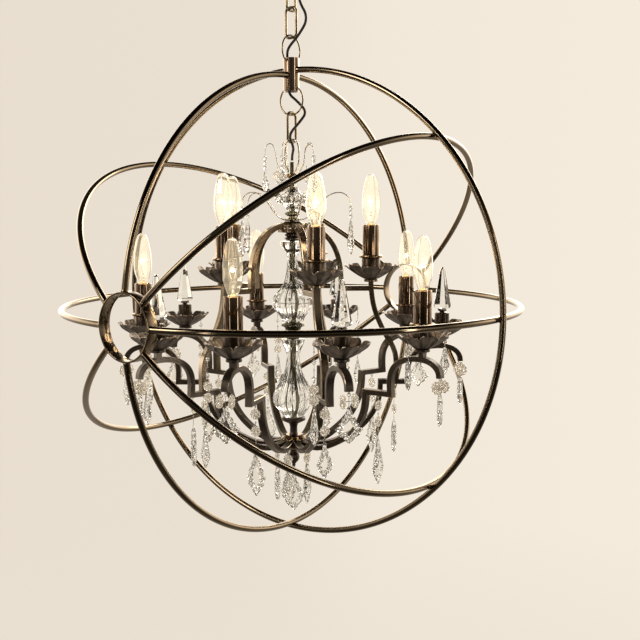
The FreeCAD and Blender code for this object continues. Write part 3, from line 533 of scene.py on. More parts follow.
def daisy(d, t, lobes=10):
    """Round cut button like a small flower: a raised eye, a ring of beads cut round it and a lobed edge, facing along X."""
    n = lobes * 4
    rows = []
    steps = [(-0.34, 0.10), (-0.50, 0.22), (-0.38, 0.36), (-0.46, 0.52), (-0.42, 0.70), (-0.22, 0.92), (0.0, 1.0), (0.22, 0.92), (0.42, 0.70), (0.46, 0.52), (0.38, 0.36), (0.50, 0.22), (0.34, 0.10)]
    for x, s_ in steps:
        row = []
        for i in range(n):
            a = 2 * math.pi * i / n
            w = 0.5 + 0.5 * math.cos(lobes * a)
            r = d / 2 * s_ * (1.0 - 0.17 * (1 - w) * min(1.0, max(0.0, (s_ - 0.3) / 0.5)))
            xx = x * (1.0 - 0.38 * (1 - w) * (1.0 if 0.45 < s_ < 0.95 else 0.0))
            row.append((xx * t, r * math.cos(a), r * math.sin(a)))
        rows.append(row)
    return stack(rows)


LEAF = [(0.00, 0.10), (0.035, 0.17), (0.075, 0.12), (0.15, 0.27), (0.19, 0.23), (0.29, 0.50), (0.33, 0.45), (0.43, 0.78), (0.47, 0.73),
        (0.58, 0.98), (0.64, 1.0), (0.68, 0.92), (0.75, 0.84), (0.79, 0.70), (0.85, 0.56), (0.885, 0.40), (0.93, 0.27), (0.955, 0.14), (0.98, 0.17), (1.0, 0.07)]
KITE = [(0.00, 0.10), (0.04, 0.16), (0.08, 0.12), (0.20, 0.34), (0.24, 0.31), (0.38, 0.62), (0.42, 0.58), (0.54, 0.88), (0.60, 0.97), (0.66, 1.0),
        (0.71, 0.90), (0.77, 0.74), (0.81, 0.62), (0.88, 0.40), (0.93, 0.22), (0.96, 0.15), (1.0, 0.08)]
DROP = [(0.00, 0.10), (0.05, 0.22), (0.10, 0.16), (0.22, 0.42), (0.38, 0.66), (0.52, 0.84), (0.66, 1.0), (0.78, 0.92), (0.88, 0.66), (0.95, 0.34), (1.0, 0.08)]


def leaf(w, h, t, shape=LEAF):
    """Flat cut drop: lobed edge like a pressed leaf, rows of small facets along it, and a broad table on each face."""
    vs = np.linspace(0.0, 1.0, 25)
    us = np.interp(vs, [a for a, _ in shape], [c for _, c in shape])
    out = []
    for k, (v, u) in enumerate(zip(vs, us)):
        lobe = 1.0 - (0.20 * (0.5 - 0.5 * math.cos(2 * math.pi * v * 6.5)) if 0.12 < v < 0.96 else 0.0)
        out.append((u * lobe * w / 2, -v * h))
    out = out + [(-y, z) for y, z in reversed(out)]
    n = len(out)
    cz = -0.60 * h

    def row(x, k, kz, jog=0.0):
        pts = []
        for i, (y, z) in enumerate(out):
            q = 1.0 + (jog if i % 2 else -jog)
            dip = 1.0 - (5.5 * jog if (i + int(40 * k)) % 2 else 0.0)
            pts.append((x * dip, y * k * q, cz + (z - cz) * kz * q))
        return pts
    rows = [row(-t * 0.50, 0.44, 0.50), row(-t * 0.40, 0.64, 0.69, 0.045), row(-t * 0.38, 0.80, 0.83, 0.055),
            row(-t * 0.08, 0.985, 0.99), row(t * 0.08, 0.985, 0.99), row(t * 0.38, 0.80, 0.83, 0.055), row(t * 0.40, 0.64, 0.69, 0.045), row(t * 0.50, 0.44, 0.50)]
    return stack(rows)


def gem(rings, n=8, half=0.0, z0=0.0):
    """Faceted solid of n-sided rings (radius, height)."""
    out = []
    for k, (r, z) in enumerate(rings):
        ph = half + (0.5 if k % 2 else 0.0)
        out.append([(r * math.cos(2 * math.pi * (i + ph) / n), r * math.sin(2 * math.pi * (i + ph) / n), z + z0) for i in range(n)])
    V = [p for o in out for p in o]
    F = []
    for k in range(len(out) - 1):
        for i in range(n):
            j = (i + 1) % n
            a, b, c, d_ = k * n + i, k * n + j, (k + 1) * n + j, (k + 1) * n + i
            if k % 2 == 0:
                F += [(a, b, d_), (b, c, d_)]
            else:
                F += [(a, b, c), (a, c, d_)]
    F.append(tuple(range(n - 1, -1, -1)))
    F.append(tuple((len(out) - 1) * n + i for i in range(n)))
    return V, F


def obelisk(rings, n=8, half=0.5):
    """Straight-sided faceted solid through n-sided rings."""
    V = [(r * math.cos(2 * math.pi * (i + half) / n), r * math.sin(2 * math.pi * (i + half) / n), z) for r, z in rings for i in range(n)]
    F = []
    for k in range(len(rings) - 1):
        for i in range(n):
            j = (i + 1) % n
            F.append((k * n + i, k * n + j, (k + 1) * n + j, (k + 1) * n + i))
    F.append(tuple(range(n - 1, -1, -1)))
    F.append(tuple((len(rings) - 1) * n + i for i in range(n)))
    return V, F


def bead(r, n=8, tall=1.0):
    return gem([(0.30 * r, -0.92 * r * tall), (0.80 * r, -0.52 * r * tall), (r, 0.0), (0.80 * r, 0.52 * r * tall), (0.30 * r, 0.92 * r * tall)], n)


def icicle(r, h, n=6):
    return gem([(r * .22, 0), (r * .55, -h * .05), (r * .42, -h * .12), (r * .80, -h * .30), (r * .92, -h * .52), (r, -h * .70), (r * .86, -h * .82), (r * .45, -h * .93), (r * .08, -h)], n)


def string_of(b, items, M, wire=0.42, cm=0, wm=1):
    """Hangs crystals one under another from M's origin. Items: ("pin", length), ("bead", r), ("daisy", d, t), ("leaf"|"kite"|"drop", w, h, t), ("icicle", r, h)."""
    z = 0.0
    for it in items:
        kind = it[0]
        if kind == "pin":
            L = it[1]
            b.add(tube([(0, 0, z + 0.6), (0, 0, z - L - 0.6)], wire, 6), wm, M=M)
            if L > 4.0:
                b.add(loop_wire(1.25, wire * 0.9, 12, 6), wm, M=M @ T(0, 0, z - L * 0.5))
            z -= L
        elif kind == "bead":
            b.add(bead(it[1]), cm, True, M=M @ T(0, 0, z - it[1] * 0.92))
            z -= it[1] * 1.84
        elif kind == "daisy":
            b.add(daisy(it[1], it[2]), 3, True, M=M @ T(0, 0, z - it[1] / 2))
            z -= it[1]
        elif kind in ("leaf", "kite", "drop"):
            shp = {"leaf": LEAF, "kite": KITE, "drop": DROP}[kind]
            b.add(leaf(it[1], it[2], it[3], shp), cm, True, M=M @ T(0, 0, z))
            z -= it[2]
        elif kind == "icicle":
            b.add(icicle(it[1], it[2]), cm, True, M=M @ T(0, 0, z))
            z -= it[2]
        elif kind == "turn":
            M = M @ Rz(it[1])
    return z


# ------------------------------------------------------------------ the orb
C = np.array([0, 0, ZC])


def meridian_points(a_deg, t0, t1, steps):
    a = math.radians(a_deg)
    q = np.array([math.sin(a), 0, math.cos(a)])
    return [C + np.array([0, -math.cos(t) * ORB_R, 0]) + q * math.sin(t) * ORB_R for t in np.linspace(math.radians(t0), math.radians(t1), steps)]


def flared(n, at0=True, at1=True, r=ROD_R):
    """Radii with a small weld fillet at the ends."""
    rad = np.full(n, r)
    if at0:
        rad[0], rad[1], rad[2] = r + 0.7, r + 0.3, r + 0.05
    if at1:
        rad[-1], rad[-2], rad[-3] = r + 0.7, r + 0.3, r + 0.05
    return rad


def with_close_ends(t0, t1, steps, close=0.22):
    inner = np.linspace(t0 + 3 * close, t1 - 3 * close, steps)
    return np.concatenate([[t0, t0 + close, t0 + 2 * close], inner, [t1 - 2 * close, t1 - close, t1]])


def rod(a_deg, t0, t1, steps=220):
    a = math.radians(a_deg)
    q = np.array([math.sin(a), 0, math.cos(a)])
    ts = np.radians(with_close_ends(t0, t1, steps))
    pts = [C + np.array([0, -math.cos(t) * ORB_R, 0]) + q * math.sin(t) * ORB_R for t in ts]
    return tube(pts, flared(len(pts)), 28)


T0 = math.degrees(math.asin((COLLAR_R - 0.6) / ORB_R))
rods = {"meridian_upper_right": 45, "meridian_right": 90, "meridian_lower_right": 135, "meridian_bottom": 180,
        "meridian_lower_left": 230.2, "meridian_left": 270, "meridian_upper_left": 309.8}
for nm, a in rods.items():
    Build().add(rod(a, T0, 180 - T0)).piece("rod_" + nm[9:], [BRONZE], "orb", [nm], "bronze")
th = math.degrees(math.asin((HUB_R - 0.4) / ORB_R))
Build().add(rod(0, T0, 90 - th, 110)).add(rod(0, 90 + th, 180 - T0, 110)).piece("rod_top", [BRONZE], "orb", ["meridian_top"], "bronze")
tc_ = math.degrees(math.asin((HUB_R - 0.4) / CROSS_R))
ang = np.radians(with_close_ends(tc_, 360 - tc_, 420))
cr = [C + CROSS_R * np.array([math.sin(a), 0, math.cos(a)]) for a in ang]
Build().add(tube(cr, flared(len(cr)), 28)).piece("rod_cross_ring", [BRONZE], "orb", ["cross_ring"], "bronze")
# tack welds where the meridians pass inside the cross ring
wb = Build()
for a in list(rods.values()):
    ar = math.radians(a)
    p = C + 404.6 * np.array([math.sin(ar), 0, math.cos(ar)])
    M = T(*p) @ Ry(a)
    V, F = ball(1.0, n=14)
    V = [(x * 5.7 * (1 + 0.04 * math.sin(5 * y)), y * 5.7, z * 3.1) for x, y, z in V]
    wb.add((V, F), M=M)
wb.piece("orb_welds", [BRONZE_RIM], "orb", slot="bronze")

# pole collars: rolled flat bands with eased edges
cb = Build()
e = 0.9
band = [(COLLAR_R - COLLAR_WALL, COLLAR_Y0 + e), (COLLAR_R - COLLAR_WALL + e * .3, COLLAR_Y0 + e * .3), (COLLAR_R - COLLAR_WALL + e, COLLAR_Y0), (COLLAR_R - e, COLLAR_Y0),
        (COLLAR_R - e * .3, COLLAR_Y0 + e * .3), (COLLAR_R, COLLAR_Y0 + e), (COLLAR_R, COLLAR_Y1 - e), (COLLAR_R - e * .3, COLLAR_Y1 - e * .3), (COLLAR_R - e, COLLAR_Y1),
        (COLLAR_R - COLLAR_WALL + e, COLLAR_Y1), (COLLAR_R - COLLAR_WALL + e * .3, COLLAR_Y1 - e * .3), (COLLAR_R - COLLAR_WALL, COLLAR_Y1 - e)]
for s in (-1, 1):
    M = T(0, 0, ZC) @ Rx(-90 * s)
    cb.add(lathe(band, 96, loop=True), M=M)
cb.piece("pole_bands", [BRONZE], "orb", ["pole_collars"], "bronze", sharp=40)

# ------------------------------------------------------------------ petal cups
CUP = fair([(4.2, 2.9), (9.0, 3.0), (18.0, 6.6), (27.0, 12.2), (36.0, 18.6), (42.0, 23.4), (45.4, 26.6), (47.4, 27.6)], 5)
CUP_S = np.concatenate([[0], np.cumsum(np.linalg.norm(np.diff(CUP, axis=0), axis=1))])
CUP_S /= CUP_S[-1]


def petals(seed):
    """Pressed bowl of eight petals: lobed and pointed rim, a crease down each petal and a valley between neighbours."""
    rnd = random.Random(seed)
    lift = [(1.5 if i % 2 else -0.2) + rnd.uniform(-0.7, 0.9) for i in range(8)]
    curl = [rnd.uniform(0.2, 2.2) for _ in range(8)]
    n, m, th_ = 144, 15, 1.0
    top, bot = [], []
    for k in range(m + 1):
        rt, rb = [], []
        for i in range(n):
            a = 360.0 * i / n
            idx = int(((a + 22.5) % 360) // 45)
            off = ((a + 22.5) % 45) - 22.5
            d = 1.0 - abs(off) / 22.5
            reach = 0.80 + 0.185 * math.sqrt(max(0.0, 1 - (1 - d) ** 2)) + 0.02 * math.exp(-((1 - d) / 0.10) ** 2)
            sv = reach * (k / m)
            r = float(np.interp(sv, CUP_S, CUP[:, 0]))
            z = float(np.interp(sv, CUP_S, CUP[:, 1]))
            w = min(1.0, sv * 1.5)
            z += lift[idx] * sv ** 2 * min(1.0, d * 3.0)
            z -= 1.5 * math.exp(-(d / 0.16) ** 2) * w
            z -= 0.85 * math.exp(-((1 - d) / 0.12) ** 2) * w * (1 - 0.4 * sv)
            z += 0.8 * math.sin(math.pi * min(1.0, d * 1.1)) * w * (1 - d) * 1.6
            tip = max(0.0, (sv - 0.80) / 0.20)
            z -= curl[idx] * tip ** 2 * d * 0.7
            r += 0.4 * math.sin(math.radians(off) * 30) * sv ** 3
            ar = math.radians(a)
            rt.append(((r - 0.5 * th_ * 0.55) * math.cos(ar), (r - 0.5 * th_ * 0.55) * math.sin(ar), z + 0.5 * th_))
            rb.append(((r + 0.5 * th_ * 0.55) * math.cos(ar), (r + 0.5 * th_ * 0.55) * math.sin(ar), z - 0.5 * th_))
        top.append(rt)
        bot.append(rb)
    V = [p for row in top for p in row] + [p for row in bot for p in row]
    o_ = n * (m + 1)
    F, mats = [], []
    for k in range(m):
        for i in range(n):
            j = (i + 1) % n
            a, b_, c, d_ = k * n + i, k * n + j, (k + 1) * n + j, (k + 1) * n + i
            F.append((a, b_, c, d_))
            F.append((o_ + d_, o_ + c, o_ + b_, o_ + a))
            mats += [0, 0]
    # the outer rim faces take material 1, the painted rim highlight; the inner edge keeps the petal iron
    for i in range(n):
        j = (i + 1) % n
        F.append((m * n + i, m * n + j, o_ + m * n + j, o_ + m * n + i))
        F.append((i, o_ + i, o_ + j, j))
        mats += [1, 0]
    return (V, F), mats


def cup_into(b, M, seed=1):
    part, mats = petals(seed)
    b.add(part, mats, M=M)
    # small turned boss under the bowl
    b.add(lathe([(4.2, 5.2), (11.0, 5.0), (11.6, 4.2), (10.6, 2.6), (4.2, 2.4)], 32, loop=True), 0, M=M)


cups = Build()
places = [(az, LOWER_R, LOWER_Z) for az in ALL_AZ] + [(az, UPPER_R, UPPER_Z) for az in SPIKE_AZ]
for k, p in enumerate(places):
    cup_into(cups, put(*p), 40 + k)
cups.piece("cup_petals", [PETAL, PETAL_RIM_HIGHLIGHT], "chandelier", ["petal_cups"], "dark_iron", sharp=50)

# ------------------------------------------------------------------ arms
T2, W2 = ARM_T / 2, ARM_W / 2
arm_path = [
    [(20.0, -874.3), (40, -878.5), (68, -876.0), (96, -863.5), (122, -846.5), (143, -821.5), (154.5, -794.0), (157.2, STEP_Z)],
    [(157.2, STEP_Z), (207.4, STEP_Z)],
    [(207.4, STEP_Z), (206.6, -744.0), (209.6, -726.0), (220.0, -711.5), (238.0, -702.6), (262.0, -699.6), (280.0, -702.0), (293.0, -709.5), (299.2, -718.5), (300.6, -727.5)],
]
arms = Build()
# material 1 on the chamfer faces is the painted edge highlight
part, mats = bar(arm_path, T2, W2)
eye = loop_wire(2.2, 0.7)
for az in ALL_AZ:
    M = Rz(az)
    arms.add(part, mats, M=M)
    arms.add(block(LOWER_R - 4.6, LOWER_R + 4.6, -6.6, 6.6, -697.0, LOWER_Z - 2.0), 0, M=M)
    arms.add(lathe([(0, -2.3), (12.2, -2.3), (12.6, -1.7), (12.6, 1.5), (12.1, 2.2), (0, 2.2)], 32), 0, M=M @ T(LOWER_R, 0, LOWER_Z))
    arms.add(eye, 2, M=M @ T(OUT_R, 0, OUT_Z) @ Rz(90))
    arms.add(eye, 2, M=M @ T(STEP_R, 0, STEP_Z - T2 - 1.7) @ Rz(90))
arms.piece("arm_bars_lower", [IRON, IRON_EDGE_HIGHLIGHT, BRIGHT], "chandelier", ["lower_arms"], "dark_iron", sharp=28)

up_path = [
    [(22.0, -483.6), (30, -485.8), (38, -488.6), (54, -497.6), (67.5, -511.5), (78, -531.5), (83.8, -553.0), (86.0, -576.0), (86.0, -595.9)],
    [(86.0, -595.9), (136.6, -595.9)],
]
ua = Build()
part, mats = bar(up_path, T2, W2)
for az in SPIKE_AZ:
    ua.add(part, mats, M=Rz(az))
ua.piece("arm_bars_upper", [ARM_UP, IRON_EDGE_HIGHLIGHT], "chandelier", ["upper_arms"], "dark_iron", sharp=28)
ris_path = [[(185.0, STEP_Z + T2 - 0.5), (185.2, -741.4), (184.2, -717.8), (177.5, -698.0), (165.6, -678.2), (155.8, -658.6), (148.2, -640.0), (142.8, -619.0), (140.2, -600.0), (139.4, UPPER_Z - 2.2)]]
rs = Build()
part, mats = bar(ris_path, T2, W2)
for az in SPIKE_AZ:
    rs.add(part, mats, M=Rz(az))
    rs.add(lathe([(0, -2.3), (12.2, -2.3), (12.6, -1.7), (12.6, 1.5), (12.1, 2.2), (0, 2.2)], 32), 0, M=Rz(az) @ T(UPPER_R, 0, UPPER_Z))
rs.piece("arm_risers", [ARM_UP, IRON_EDGE_HIGHLIGHT], "chandelier", ["risers"], "dark_iron", sharp=28)

# ------------------------------------------------------------------ candle lights
lights = [(az, LOWER_R, LOWER_Z) for az in CANDLE_AZ] + [(az, UPPER_R, UPPER_Z) for az in SPIKE_AZ]
hold, ringp, slv, cap, lampg, fil = Build(), Build(), Build(), Build(), Build(), Build()
bulbs = []
HOLD_LO = [(0, 2.6), (3.8, 2.6), (3.8, 4.4), (8.0, 4.4), (15.6, 8.9), (16.3, 9.8), (16.3, 38.6), (15.7, 39.8), (13.8, 40.0), (12.0, 40.0)]
HOLD_HI = [(12.0, 40.0), (12.0, 68.0), (12.6, 68.5), (12.6, 86.0), (11.6, 92.0), (9.4, 92.0), (9.4, 72.0), (0, 72.0)]
RING = [(13.9, 40.2), (19.5, 40.2), (20.6, 40.8), (21.0, 41.8), (21.0, 43.0), (20.6, 44.0), (19.6, 44.6), (15.3, 44.6), (15.3, 42.2), (13.9, 42.2)]
SLV = [(13.6, 44.7), (14.9, 44.7), (15.0, 45.4), (15.0, 96.6), (14.9, 97.5), (14.4, 98.0), (13.9, 98.0), (13.6, 97.5)]
G_OUT = fair([(8.2, 99.2), (10.4, 105.0), (13.6, 113.0), (16.0, 122.0), (16.8, 132.0), (16.6, 142.0), (15.6, 153.0), (13.8, 164.0), (11.4, 174.0), (9.0, 181.2), (6.2, 185.2), (2.0, 187.2)], 3)
G_IN = fair([(7.4, 100.4), (9.6, 106.0), (12.7, 113.8), (15.0, 122.4), (15.8, 132.0), (15.6, 142.0), (14.6, 152.8), (12.8, 163.6), (10.4, 173.5), (8.0, 180.5), (5.4, 184.2), (2.0, 186.0)], 3)


def cut_sides(a, k):
    """Eight broad flat panels moulded into the glass, rounding off towards both ends."""
    q = (a % (math.pi / 4)) - math.pi / 8
    flat_ = math.cos(math.pi / 8) / math.cos(q)
    return 1.0 - (1.0 - flat_) * 0.80 - 0.004


envelope = [tuple(p) for p in G_OUT] + [(0, 187.4)]
inside = [(0, 186.2)] + [tuple(p) for p in reversed(G_IN)]
for k, p in enumerate(lights):
    M = put(*p) @ Rz(23.0 * k)
    hold.add(lathe(HOLD_LO, 40), 0, M=M)
    hold.add(lathe(HOLD_HI, 32), 1, M=M)
    ringp.add(lathe(RING, 44, loop=True), 0, M=M)
    slv.add(lathe(SLV, 48, loop=True), 0, M=M)
    # screw cap with a rolled thread, and its brass collar
    thread = [(0, 70.0), (3.0, 70.0), (4.6, 73.0), (6.4, 74.5)]
    for i in range(7):
        thread += [(7.0, 75.6 + 2.4 * i), (6.3, 76.8 + 2.4 * i)]
    thread += [(7.0, 92.5), (8.2, 94.0), (8.2, 98.6), (7.6, 99.0), (6.6, 99.0), (6.6, 97.0), (0, 97.0)]
    cap.add(lathe(thread, 28), 0, M=M)
    lampg.add(lathe(envelope, 48, cut_sides), 0, M=M)
    lampg.add(lathe(inside, 48, cut_sides), 0, M=M)
    bulbs.append((M[0, 3], M[1, 3], M[2, 3] + 133.0))
    # flared glass mount with two lead wires and a filament hung between them
    lampg.add(lathe([(0, 97.2), (5.2, 97.2), (3.4, 101.5), (2.0, 107.0), (1.7, 112.0), (2.2, 114.2), (1.2, 115.6), (0, 115.8)], 20), 0, M=M)
    for s in (-1, 1):
        fil.add(tube(fair([(0.8 * s, 0, 113.5), (1.6 * s, 0, 119.0), (3.6 * s, 0, 128.0), (5.2 * s, 0, 136.5)], 3), 0.36, 6), 0, M=M)
        fil.add(tube([(4.4 * s, -0.5, 136.2), (5.6 * s, 0.5, 136.8)], 0.5, 6), 0, M=M)
    coil = []
    for i in range(97):
        t = i / 96.0
        x = -5.2 + 10.4 * t
        a = 2 * math.pi * 16 * t
        drop = 2.2 * math.sin(math.pi * t)
        coil.append((x, 0.62 * math.cos(a), 136.4 + drop + 0.62 * math.sin(a)))
    fil.add(tube(coil, 0.22, 5), 1, M=M)
    fil.add(ball(2.9, 0, 0, 138.2, 14, squash=1.15), 2, M=M)
hold.piece("candle_holders", [DRUM, PORCELAIN], "chandelier", ["lampholders"], "dark_iron", sharp=35)
ringp.piece("candle_rings", [BRONZE_RIM], "chandelier", ["drip_rings"], "bronze", sharp=35)
slv.piece("candle_tubes", [SLEEVE], "chandelier", ["candle_sleeves"], "bronze", sharp=35)
cap.piece("lamp_screw_caps", [BRASS], "chandelier", ["lamp_caps"], "bright_metal")
lo_ = lampg.piece("lamp_envelopes", [LAMP_GLASS], "chandelier", ["lamp_glasses"], "lamp_glass", fix=False, sharp=12)
lo_.visible_shadow = False
fo_ = fil.piece("lamp_filaments", [BRIGHT, FILAMENT, HEART], "chandelier", slot="lamp_glass")
fo_.visible_glossy = False

# ------------------------------------------------------------------ crystal spikes and their stands
sp, st = Build(), Build()
for az in SPIKE_AZ:
    M = put(az, LOWER_R, LOWER_Z)
    st.add(lathe([(0, 2.6), (3.8, 2.6), (3.8, 4.4), (8.0, 4.4), (12.4, 7.4), (13.0, 8.2), (13.0, 42.6), (12.5, 43.8), (11.4, 44.4), (4.6, 44.6), (4.4, 46.4), (5.4, 47.0), (7.6, 47.6), (8.0, 48.6), (7.5, 50.8), (0, 51.0)], 40), 0, M=M)
    for i in range(10):
        a = 36 * i
        st.add(ball(0.9, 8.0, 0, 48.6, 8), 1, M=M @ Rz(a))
    sp.add(obelisk([(8.2, 51.2), (14.4, 52.8), (16.0, 56.5), (15.2, 62.0), (4.1, 121.5), (0.8, 125.6)], 8), 0, True, M=M)
st.piece("spike_stands", [DRUM, BRIGHT], "chandelier", ["spike_holders"], "dark_iron", sharp=35)
sp.piece("spike_crystals", [CRYSTAL], "chandelier", ["crystal_spikes"], "crystal")

# ------------------------------------------------------------------ column
BORE = 5.15


def ribs(count, depth, start=0, stop=999):
    def f(a, k):
        if start <= k <= stop:
            return 1.0 - depth * (0.5 - 0.5 * math.cos(count * a)) ** 1.4
        return 1.0
    return f


def glass_body(outer, count, depth, start, stop, n=96, steps=5):
    """Cast glass baluster: fluted outside, straight bore."""
    pts = fair([(r, Z(q)) for r, q in outer], steps)
    m = len(pts)
    lo, hi = int(start * m), int(stop * m)

    def f(a, k):
        t = (k - lo) / max(1, hi - lo)
        if t <= 0 or t >= 1 or k >= m:
            return 1.0
        e_ = math.sin(math.pi * t) ** 0.6
        return 1.0 - depth * e_ * (0.5 - 0.5 * math.cos(count * a)) ** 1.3
    prof = [tuple(p) for p in pts] + [(BORE, pts[-1][1]), (BORE, pts[0][1])]
    return lathe(prof, n, f, loop=True)


b = Build()
b.add(glass_body([(21.4, .2815), (20.8, .2700), (14.0, .2430), (10.4, .2208), (10.2, .1800), (12.4, .1318), (18.6, .0870), (29.0, .0560),
                  (36.0, .0260), (35.8, .0000), (29.0, -.0340), (21.0, -.0620), (19.4, -.0746)], 16, 0.085, 0.30, 0.99))
b.piece("glass_upper", [BALUSTER], "chandelier", ["upper_baluster"], "crystal", sharp=40)
b = Build()
b.add(glass_body([(21.4, -.1560), (19.6, -.1740), (13.6, -.2080), (12.0, -.2424), (14.8, -.2900), (25.0, -.3500), (35.4, -.4000), (37.2, -.4256),
                  (34.0, -.4550), (24.0, -.4850), (18.4, -.5070)], 16, 0.085, 0.30, 0.99))
b.piece("glass_lower", [BALUSTER], "chandelier", ["lower_baluster"], "crystal", sharp=40)
# crown vase: a cut bowl with a scalloped lip
b = Build()
vase = fair([(9.2, Z(.5460)), (9.6, Z(.530)), (12.5, Z(.505)), (22.0, Z(.4860)), (30.6, Z(.4730)), (29.5, Z(.4600)), (20.5, Z(.4460)), (12.0, Z(.4320)), (9.6, Z(.4140))], 3)
mv = len(vase)


def scallop(a, k):
    if k >= mv:
        return 1.0
    r = vase[k][0]
    return 1.0 - 0.13 * max(0.0, (r - 12.0) / 18.6) * (0.5 - 0.5 * math.cos(12 * a))


b.add(lathe([tuple(p) for p in vase] + [(BORE, vase[-1][1]), (BORE, vase[0][1])], 72, scallop, loop=True), 0, True)
b.piece("crown_vase", [CRYSTAL], "chandelier", ["crystal_vase"], "crystal")

# collars of bright beads on the dark discs
bb = Build()


def bead_row(b, r, z, count, size, mat=0, phase=0.0):
    for i in range(count):
        a = 2 * math.pi * (i + phase) / count
        b.add(ball(size, r * math.cos(a), r * math.sin(a), z, 10), mat)


bead_row(bb, 11.7, Z(.3095), 14, 2.2, 0)
bead_row(bb, 11.7, Z(.2940), 14, 2.2, 0, 0.5)
bead_row(bb, 11.3, Z(.4030), 12, 2.2, 0)
bead_row(bb, 17.4, Z(.3788), 20, 1.5, 1, 0.5)
bead_row(bb, 20.6, Z(-.0920), 30, 1.0, 1)
bead_row(bb, 20.6, Z(-.1350), 30, 1.0, 1)
bead_row(bb, 25.4, Z(.3390), 15, 2.3, 1, 0.5)
bead_row(bb, 21.4, Z(-.6100), 20, 1.3, 1)
bb.piece("bead_rows", [CRYSTAL, BRIGHT], "chandelier", slot="bright_metal")

# ------------------------------------------------------------------ hanging crystals
pend_order = sorted(CANDLE_AZ + SPIKE_AZ)
for i, az in enumerate(pend_order):
    b = Build()
    M = Rz(az) @ T(OUT_R, 0, OUT_Z)
    b.add(loop_wire(2.6, 0.55), 1, M=M @ T(0, 0, -3.0))
    b.add(tube([(0, 0, -5.4), (0, 0, -9.0)], 0.6, 8), 1, M=M)
    # a pair of buttons either side of the arm's line, on a short cross wire
    b.add(tube([(0, -12.0, -13.2), (0, 12.0, -13.2)], 0.5, 8), 1, M=M)
    for s in (-1, 1):
        b.add(daisy(23.6, 8.6), 3, True, M=M @ T(0, 9.8 * s, -13.2) @ Rz(90 + 6 * s) @ Rx(11.0 * i))
    b.add(tube([(0, 0, -8.0), (0, 0, -22.6)], 0.5, 8), 1, M=M)
    twist = 28.0 if az in CANDLE_AZ else -14.0
    b.add(leaf(45.0, 57.0, 9.0, KITE), 0, True, M=M @ T(0, 0, -21.2) @ Rz(twist))
    b.piece("pendant_crystal_%d" % (i + 1), [CRYSTAL, BRIGHT, CHAIN, FLOWER], "crystal_%d" % (i + 1), ["pendant_%d" % (i + 1)], "crystal")

b = Build()
for i, az in enumerate(pend_order):
    M = Rz(az) @ T(STEP_R, 0, STEP_Z - T2 - 3.6)
    if az in CANDLE_AZ:
        string_of(b, [("pin", 4.5), ("daisy", 19, 8.5), ("pin", 9.3), ("daisy", 19, 8.5), ("pin", 20.0), ("leaf", 35, 79, 9.5)], M)
    else:
        string_of(b, [("pin", 4.5), ("daisy", 19, 8.5), ("pin", 9.3), ("daisy", 19, 8.5), ("pin", 8.5), ("leaf", 30, 62, 9.0)], M)
for i, az in enumerate(pend_order):
    M = Rz(az) @ T(LOWER_R, -44.4, LOWER_Z + 26.0)
    b.add(tube([(0, 0, 2.0), (0, 0, -10.0)], 0.5, 8), 2, M=M)
    if az < 90:
        string_of(b, [("pin", 10.0), ("daisy", 23, 8.0), ("pin", 4.0), ("turn", 20), ("kite", 35, 49, 9.0)], M)
    else:
        string_of(b, [("pin", 23.7), ("bead", 3.8), ("pin", 18.0), ("bead", 3.8), ("pin", 5.0), ("daisy", 17, 8.0), ("pin", 1.0), ("daisy", 17, 8.0), ("pin", 3.0), ("turn", 25), ("drop", 18, 59, 9.0)], M)
for k, az in enumerate(CANDLE_AZ):
    M = Rz(az) @ T(30.0, 0, Z(-.6525) + 0.4)
    b.add(tube([(-13.0, 0, 0.6), (-4.0, 0, 1.2), (0.0, 0, -0.4), (0, 0, -5.0)], 0.8, 8), 1, M=M)
    string_of(b, [("pin", 6.0), ("daisy", 19, 8.5), ("pin", 5.5), ("turn", (10, -12, 12, -10, 8)[k]), ("leaf", 29, 70, 9.5)], M)
b.piece("string_crystals", [CRYSTAL, BRIGHT, CHAIN, FLOWER], "chandelier", ["inner_strings"], "crystal")

fz = Z(-.7410)
b = Build()
M = T(0, 0, fz)
b.add(loop_wire(2.6, 0.55), 1, M=M @ T(0, 0, -5.0))
b.add(tube([(0, 0, -7.4), (0, 0, -12.6)], 0.6, 8), 1, M=M)
b.add(leaf(39.0, 71.5, 10.5, LEAF), 0, True, M=M @ T(0, 0, -11.2) @ Rz(-52))
b.piece("centre_crystal_drop", [CRYSTAL, BRIGHT], "centre_crystal", ["centre_pendant"], "crystal")

# crown: small strings on the hooked wires, buttons around the crown disc
b = Build()
for i, az in enumerate(CANDLE_AZ):
    M = put(az, 47.2, -361.4)
    string_of(b, [("pin", 2.0), ("bead", 4.0), ("pin", 1.0), ("bead", 4.0), ("pin", 1.0), ("bead", 4.0), ("pin", 3.0), ("turn", 60), ("leaf", 17, 36, 8)], M)
for i, az in enumerate(SPIKE_AZ):
    M = put(az, 103.6, -448.4)
    string_of(b, [("pin", 2.0), ("bead", 3.6), ("pin", 1.0), ("bead", 3.6), ("pin", 1.0), ("bead", 3.6), ("pin", 4.0), ("turn", 35), ("drop", 17, 60, 9)], M)
for r, az, z in ((30.0, 250.0, -398.0), (30.0, 6.0, -398.0), (34.0, 128.0, -398.0)):
    M = put(az, r, z)
    b.add(daisy(17.0, 7.0), 3, True, M=M @ Rz(-52.13 - az))
    b.add(tube([(0, 0, 8.0), (0, 0, 17.0)], 0.5, 8), 1, M=M)
    b.add(bead(3.0), 0, True, M=M @ T(0, 0, -12.0))
b.piece("crown_strings", [CRYSTAL, BRIGHT, CHAIN, FLOWER], "chandelier", ["crown_crystals"], "crystal")

